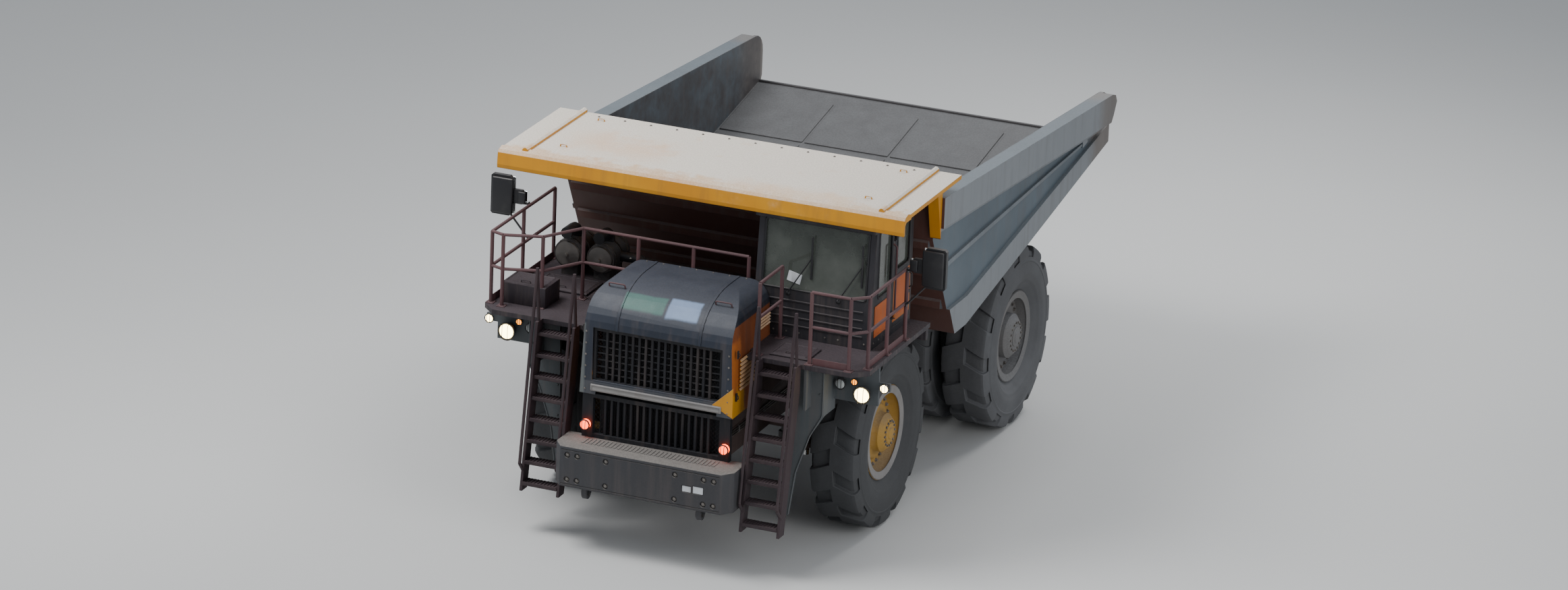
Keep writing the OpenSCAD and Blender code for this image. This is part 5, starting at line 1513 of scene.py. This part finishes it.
@dataclass(frozen=True)
class Chassis:
    """Lines, bands, covers, caps and bolts of the frame, the axles, the struts and the tanks."""

    line_x: float = 0.628
    kingpin: tuple[float, float] = (1.35, -2.25)
    rear_strut: tuple[float, float] = (0.70, 2.74)
    tank_x: tuple[float, float] = (0.67, 1.50)
    tank_z: tuple[float, float] = (1.00, 1.95)
    lamp_bar: tuple[float, float, float] = (0.95, 3.43, 1.62)
    ram: tuple[float, float, float] = (0.80, -2.05, 0.985)
    ram_turn: float = math.atan2(-0.52, 0.55)
    hoist_foot: tuple[float, float, float] = (0.80, 1.40, 0.96)
    hoist_run: tuple[float, float] = (0.20, 1.48)

    def lines(self) -> None:
        """Rigid brake and oil lines along the rails, with their clamps."""
        x = self.line_x
        runs = [Shape.pipe("line", [(x, -4.35, z), (x, -0.45, z)], 0.010) for z in (1.40, 1.435, 1.47)]
        path = ((0.86, 1.628), (0.52, 1.628), (0.48, 1.68), (0.48, 1.80))
        runs.append(Shape.pipe("axle_line", [(x, 2.32, z) for x, z in path], 0.009, 0.05))
        Shape.group("rail_lines", runs).both_sides().dress("bolt_steel", slot="dark_frame")
        clamp = Shape.box("line_clamps", (0.606, -0.016, 1.384), (0.643, 0.016, 1.486), 0.004)
        clamp.join(bolt("clamp_bolt", 0.008, 0.008).move(at(0.643, 0, 1.452, Way.LEFT)))
        clamp.spread([at(y=y) for y in between(-4.2, -0.6, 9)]).both_sides().dress("steel_dark", slot="dark_frame")

    def engine(self) -> None:
        """Oil pan, ribs and shaft flanges under the power train."""
        pan = Shape.box("oil_pan", (-0.32, -4.05, 1.112), (0.32, -3.00, 1.14), 0.02, 2)
        plug = bolt("pan_plug", 0.02, 0.012).move(at(0, -3.2, 1.112, Way.DOWN))
        rims = bolt("pan_bolt", 0.011, 0.010).spread(
            [at(x, y, 1.131, Way.DOWN) for x in (-0.355, 0.355) for y in between(-4.2, -2.85, 10)])
        pan.join(plug, rims).dress("cast")
        fin = Shape.box("gearbox_ribs", (-0.30, -1.40, 1.150), (-0.288, -0.80, 1.175), 0.004)
        fin.spread([at(x) for x in between(0, 0.588, 8)]).dress("cast")
        flange = Shape.turned(
            "shaft_flanges",
            ((-0.03, 0.07), (-0.03, 0.13), (-0.012, 0.134), (0.012, 0.134), (0.03, 0.13), (0.03, 0.07)),
            (0, 0, 1.40), Way.BACK, closed=True)
        flange.join(bolt("flange_bolt", 0.012, 0.010).spread(circle(8, 0.108, at(0, -0.03, 1.40, Way.FRONT))))
        flange.spread([at(y=y) for y in (-2.655, -1.545, -0.655, 1.74)]).dress("steel_dark", slot="cast")

    def struts(self) -> None:
        """Flanges, caps and valves of the front struts, their boots, and the rear struts' collars."""
        x, y = self.kingpin
        flange, foot = (
            Shape.turned(name, section, (x, y, 0), steps=40, closed=True) for name, section in (
                ("strut_flanges", ((2.60, 0.18), (2.60, 0.226), (2.635, 0.226), (2.642, 0.218), (2.642, 0.18))),
                ("strut_foot", ((1.701, 0.18), (1.701, 0.212), (1.79, 0.212), (1.82, 0.196), (1.82, 0.18)))))
        cap = Shape.turned("strut_cap", ((2.655, 0), (2.655, 0.15), (2.672, 0.146), (2.682, 0.10), (2.69, 0.035),
                                         (2.73, 0.03), (2.735, 0)), (x, y, 0))
        head = bolt("strut_bolt", 0.013, 0.012).spread(circle(12, 0.204, at(x, y, 2.642)))
        flange.join(foot, cap, head).both_sides().dress("cast")
        folds = [(1.548 + 0.0115 * i, 0.163 if i % 2 else 0.178) for i in range(12)]
        for side in Side:
            boot = Shape.turned(f"strut_boot_{side.word}", [(1.545, 0.141), *folds, (1.684, 0.141)],
                                (side.value * x, y, 0), steps=40, closed=True)
            boot.dress("black_plastic", f"knuckle_{side.word}", "cast", 0.3)
        x, y = self.rear_strut
        collar = Shape.turned(
            "rear_strut_collars", ((1.452, 0.08), (1.452, 0.119), (1.478, 0.121), (1.49, 0.112), (1.50, 0.08)),
            (x, y, 0), closed=True)
        pin = Shape.turned("rear_strut_pin", ((0, 0), (0, 0.045), (0.02, 0.045), (0.028, 0.036), (0.028, 0)),
                           (0.768, y, 1.91), Way.LEFT, 24)
        path = ((0.08, 1.60), (0.115, 1.60), (0.125, 1.62), (0.125, 1.66))
        valve = Shape.pipe("rear_strut_valve", [(x, y - dy, z) for dy, z in path], 0.009, 0.015)
        collar.join(pin, valve).both_sides().dress("cast")

    def axle(self) -> None:
        """Bolted cover, plugs and breather of the rear axle, and caps of the hoists' lower pins."""
        cover = Shape.turned("axle_cover", ((0, 0), (0, 0.272), (0.055, 0.272), (0.062, 0.264), (0.062, 0.225),
                                            (0.085, 0.205), (0.118, 0.12), (0.128, 0.04), (0.128, 0)),
                             (0, 2.60, 1.35), Way.BACK, 48)
        heads = bolt("cover_bolt", 0.014, 0.013).spread(circle(16, 0.246, at(0, 2.662, 1.35, Way.BACK)))
        plug = bolt("axle_plug", 0.024, 0.02).move(at(0, 2.32, 0.952, Way.DOWN))
        breather = Shape.turned("breather", ((0, 0), (0, 0.014), (0.05, 0.014), (0.05, 0.030), (0.075, 0.028),
                                             (0.084, 0.015), (0.084, 0)), (0.10, 2.32, 1.735), steps=20)
        cover.join(heads, plug, breather).dress("cast")
        cap = Shape.turned("hoist_pin_caps", ((0, 0), (0, 0.078), (0.014, 0.078), (0.020, 0.070), (0.020, 0)),
                           (0.886, 1.40, 0.96), Way.LEFT)
        cap.join(bolt("pin_bolt", 0.011, 0.010).spread(circle(3, 0.05, at(0.906, 1.40, 0.96, Way.LEFT))))
        cap.both_sides().dress("steel_dark", slot="dark_frame")

    def tank_band(self, y: float, grow: float = 0.006, r: float = 0.066) -> Shape:
        """A steel strap round a tank.

        Args:
            y: its place along the truck.
            grow: how far it stands off the tank.
            r: radius of its corners.

        Returns:
            The new shape.
        """
        (x0, x1), (z0, z1), inner = self.tank_x, self.tank_z, r - grow
        outline = [(x + dx, y, z + dz)
                   for x, z, start in ((x1 - inner, z0 + inner, -90), (x1 - inner, z1 - inner, 0),
                                       (x0 + inner, z1 - inner, 90), (x0 + inner, z0 + inner, 180))
                   for dx, dz in arc(r, *(start + turn for turn in (0, 30, 60, 90)))]
        return Shape.plate("tank_strap", outline, (0, 0.06, 0), 0.002)

    def tanks(self) -> None:
        """Straps, filler caps, sight gauges and drain plugs of the two tanks."""
        bands = Shape.group("tank_straps", [self.tank_band(y) for y in (-0.12, 0.52)])
        bands.both_sides().dress("steel_dark")
        cap = Shape.turned("tank_caps", ((-0.005, 0), (-0.005, 0.085), (0.03, 0.085), (0.03, 0.062), (0.045, 0.07),
                                         (0.075, 0.07), (0.085, 0.055), (0.085, 0)), (1.22, 0.22, self.tank_z[1]))
        grip = Shape.box("cap_grip", (1.165, 0.212, 2.03), (1.275, 0.228, 2.055), 0.005)
        cap.join(grip).both_sides().dress("steel_dark")
        x, y, low, high = 1.30, -0.325, 1.20, 1.72
        tube = Shape.grip("tank_gauges", (x, y, low), (x, y, high), (0, -0.027, 0), 0.011, 0.015, sides=10)
        ends = [Shape.box("gauge_end", (1.278, -0.365, z - 0.022), (1.322, -0.322, z + 0.022), 0.006)
                for z in (low, high)]
        drain = bolt("drain", 0.022, 0.018).move(at(1.10, 0.24, self.tank_z[0], Way.DOWN))
        tube.join(*ends, drain).both_sides().dress("bolt_steel", slot="steel_dark")

    def rear_lamps(self) -> None:
        """Lamp bar across the ends of the rails, with two lamps on each side."""
        x, y, z = self.lamp_bar
        bar = Shape.box("rear_lamp_bar", (-x, y - 0.02, z - 0.05), (x, y + 0.02, z + 0.05), 0.006)
        hangers = [Shape.box("lamp_hanger", (mid - 0.05, y - 0.03, z - 0.03), (mid + 0.05, y - 0.02, 1.80), 0.003)
                   for mid in (-0.5, 0.5)]
        bar.join(*hangers).dress("dark_frame")
        dome = ((0, 0), (0, 0.055), (0.012, 0.054), (0.022, 0.040), (0.026, 0.018), (0.026, 0))
        for name, across, finish in (("stop", 0.83, "red_lens"), ("turn", 0.68, "amber_lens")):
            lens = Shape.turned(f"rear_{name}_lamps", dome, (across, y + 0.024, z), Way.BACK, 28)
            lens.both_sides().dress(finish, slot="dark_frame")
        rim = Shape.turned("rear_lamp_rims", ((-0.006, 0.05), (-0.006, 0.068), (0.014, 0.068), (0.018, 0.060),
                                              (0.012, 0.05)), (0.83, y + 0.022, z), Way.BACK, 28, closed=True)
        rim.spread([at(), at(-0.15)]).both_sides().dress("black_plastic", slot="dark_frame")

    def steering(self) -> None:
        """Clamps of the tie rod and glands and ports of the steering cylinders."""
        clamp = Shape.turned("tie_rod_clamps", disc(-0.03, 0.03, 0.044, 0.031), (1.16, -1.80, 1.01), Way.LEFT, 24,
                             closed=True)
        clamp.join(Shape.box("clamp_lug", (1.14, -1.855, 0.996), (1.18, -1.84, 1.024), 0.004))
        clamp.both_sides().dress("steel_dark", "tie_rod", "cast")
        ring = ((0.455, 0.040), (0.455, 0.066), (0.488, 0.066), (0.498, 0.058), (0.498, 0.040))
        port = ((0.05, 0), (0.05, 0.018), (0.078, 0.018), (0.078, 0.013), (0.09, 0.013), (0.09, 0))
        for side in Side:
            gland = Shape.turned(f"ram_gland_{side.word}", ring, way=Way.LEFT, closed=True)
            gland.join(*(Shape.turned("ram_port", port, (x, 0, 0), steps=12) for x in (0.12, 0.43)))
            gland.move(side.mirror @ at(*self.ram) @ Matrix.Rotation(self.ram_turn, 4, "Z"))
            gland.dress("steel_dark", f"steer_barrel_{side.word}")

    def hoists(self) -> None:
        """Gland bolts, oil line and wiper ring of each hoist, on the stages that they move with."""
        top = math.hypot(*self.hoist_run) - 0.20
        section = ((0.008, 0.100), (0.008, 0.116), (0.030, 0.116), (0.037, 0.108), (0.037, 0.100))
        for side in Side:
            stand = side.mirror @ at(*self.hoist_foot) @ Matrix.Rotation(math.atan2(*self.hoist_run), 4, "X")
            head = bolt(f"hoist_gland_{side.word}", 0.012, 0.012).spread(circle(12, 0.131, height=top))
            line = Shape.grip("hoist_line", (0, -0.13, top - 0.10), (0, -0.13, 0.20), (0, -0.038, 0), 0.012, 0.02)
            clips = [Shape.box("line_clip", (-0.026, -0.176, z), (0.026, -0.130, z + 0.03), 0.005)
                     for z in (0.45, 0.85)]
            head.join(line, *clips).move(stand).dress("bolt_steel", f"hoist_barrel_{side.word}", "steel_dark")
            wiper = Shape.turned(f"hoist_wiper_{side.word}", [(top + a, r) for a, r in section], steps=40, closed=True)
            wiper.move(stand).dress("steel_dark", f"hoist_stage_{side.word}", "rod_steel")

    def build(self) -> None:
        """Makes every piece of the chassis."""
        self.lines()
        self.engine()
        self.struts()
        self.axle()
        self.tanks()
        self.rear_lamps()
        self.steering()
        self.hoists()


@dataclass(frozen=True)
class Stage:
    """The pale floor, the soft lights and the camera at the photograph's angle."""

    azimuth: float = 21.9
    elevation: float = 19.6
    distance: float = 110.8
    lens: float = 178.0
    roll: float = 2.3
    aim: tuple[float, float, float] = (0.0, -0.25, 2.35)
    sky: tuple[float, float, float, float] = (0.86, 0.92, 1.0, 1)
    sky_strength: float = 0.50
    lamps: tuple[tuple[str, Point, float, float], ...] = (
        ("key", (-7, -8, 18), 8, 3300), ("fill", (15, -10, 8), 10, 1000), ("back", (4, 14, 15), 8, 2100))

    def floor(self) -> None:
        """A wide plain floor."""
        g = Graph("studio floor")
        tone = g.mix(g.noise(0.15, 3), (0.56, 0.56, 0.55), (0.60, 0.60, 0.59))
        Shape.alone()
        bpy.ops.mesh.primitive_plane_add(size=400, location=(0, 0, -0.002))
        ground = Shape("floor")
        bpy.ops.object.transform_apply(location=True, rotation=True, scale=True)
        ground.object.data.materials.append(g.finish({"Base Color": tone, "Roughness": 0.85}))

    def lights(self) -> None:
        """A pale sky and three large soft lamps."""
        world = bpy.data.worlds.new("studio sky")
        world.use_nodes = True
        sky = world.node_tree.nodes["Background"]
        sky.inputs["Color"].default_value = self.sky
        sky.inputs["Strength"].default_value = self.sky_strength
        bpy.context.scene.world = world
        for name, place, size, power in self.lamps:
            lamp = bpy.data.lights.new(name, "AREA")
            lamp.energy, lamp.size = power, size
            item = bpy.data.objects.new(name, lamp)
            item.location = place
            item.rotation_euler = (Vector(self.aim) - Vector(place)).to_track_quat("-Z", "Y").to_euler()
            bpy.context.collection.objects.link(item)

    def camera(self) -> None:
        """A long lens from the photograph's side, rolled as the picture is."""
        a, e = math.radians(self.azimuth), math.radians(self.elevation)
        away = Vector((math.sin(a) * math.cos(e), -math.cos(a) * math.cos(e), math.sin(e)))
        data = bpy.data.cameras.new("camera")
        data.lens = self.lens
        data.clip_end = 1000
        item = bpy.data.objects.new("camera", data)
        look = (-away).to_track_quat("-Z", "Y").to_matrix().to_4x4()
        roll = Matrix.Rotation(math.radians(self.roll), 4, "Z")
        item.matrix_world = Matrix.Translation(Vector(self.aim) + away * self.distance) @ look @ roll
        bpy.context.collection.objects.link(item)
        bpy.context.scene.camera = item

    def build(self) -> None:
        """Sets the floor, the lights and the camera."""
        self.floor()
        self.lights()
        self.camera()


def dress_frame() -> None:
    """Gives every CAD node its finish, and sets a smoothly shaded copy in place of each round one."""
    slots = {part["node"]: part["material_slot"] for part in frame["record"]["subparts"]}
    for name, item in frame["nodes"].items():
        finish = NODE_FINISHES.get(name, slots[name])
        item.data.materials.clear()
        item.data.materials.append(Workshop.material(finish))
        if name.startswith(ROUND_NODES):
            form = Shape.of_node(name).dress(finish, item["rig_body"], slots[name], 0.4)
            form.modify("WEIGHTED_NORMAL", keep_sharp=True)
            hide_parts(name)


def main() -> None:
    """Dresses the frame and builds the sub-assemblies in order."""
    logging.basicConfig(level=logging.INFO, format="%(name)s: %(message)s")
    dress_frame()
    for assembly in (Wheels(), Nose(), Lamps(), Cab(), DeckGear(), Bed(), Chassis(), Stage()):
        LOG.info("building %s", type(assembly).__name__)
        assembly.build()
    LOG.info("%d pieces made", len(Workshop.made))


if __name__ == "__main__":
    main()
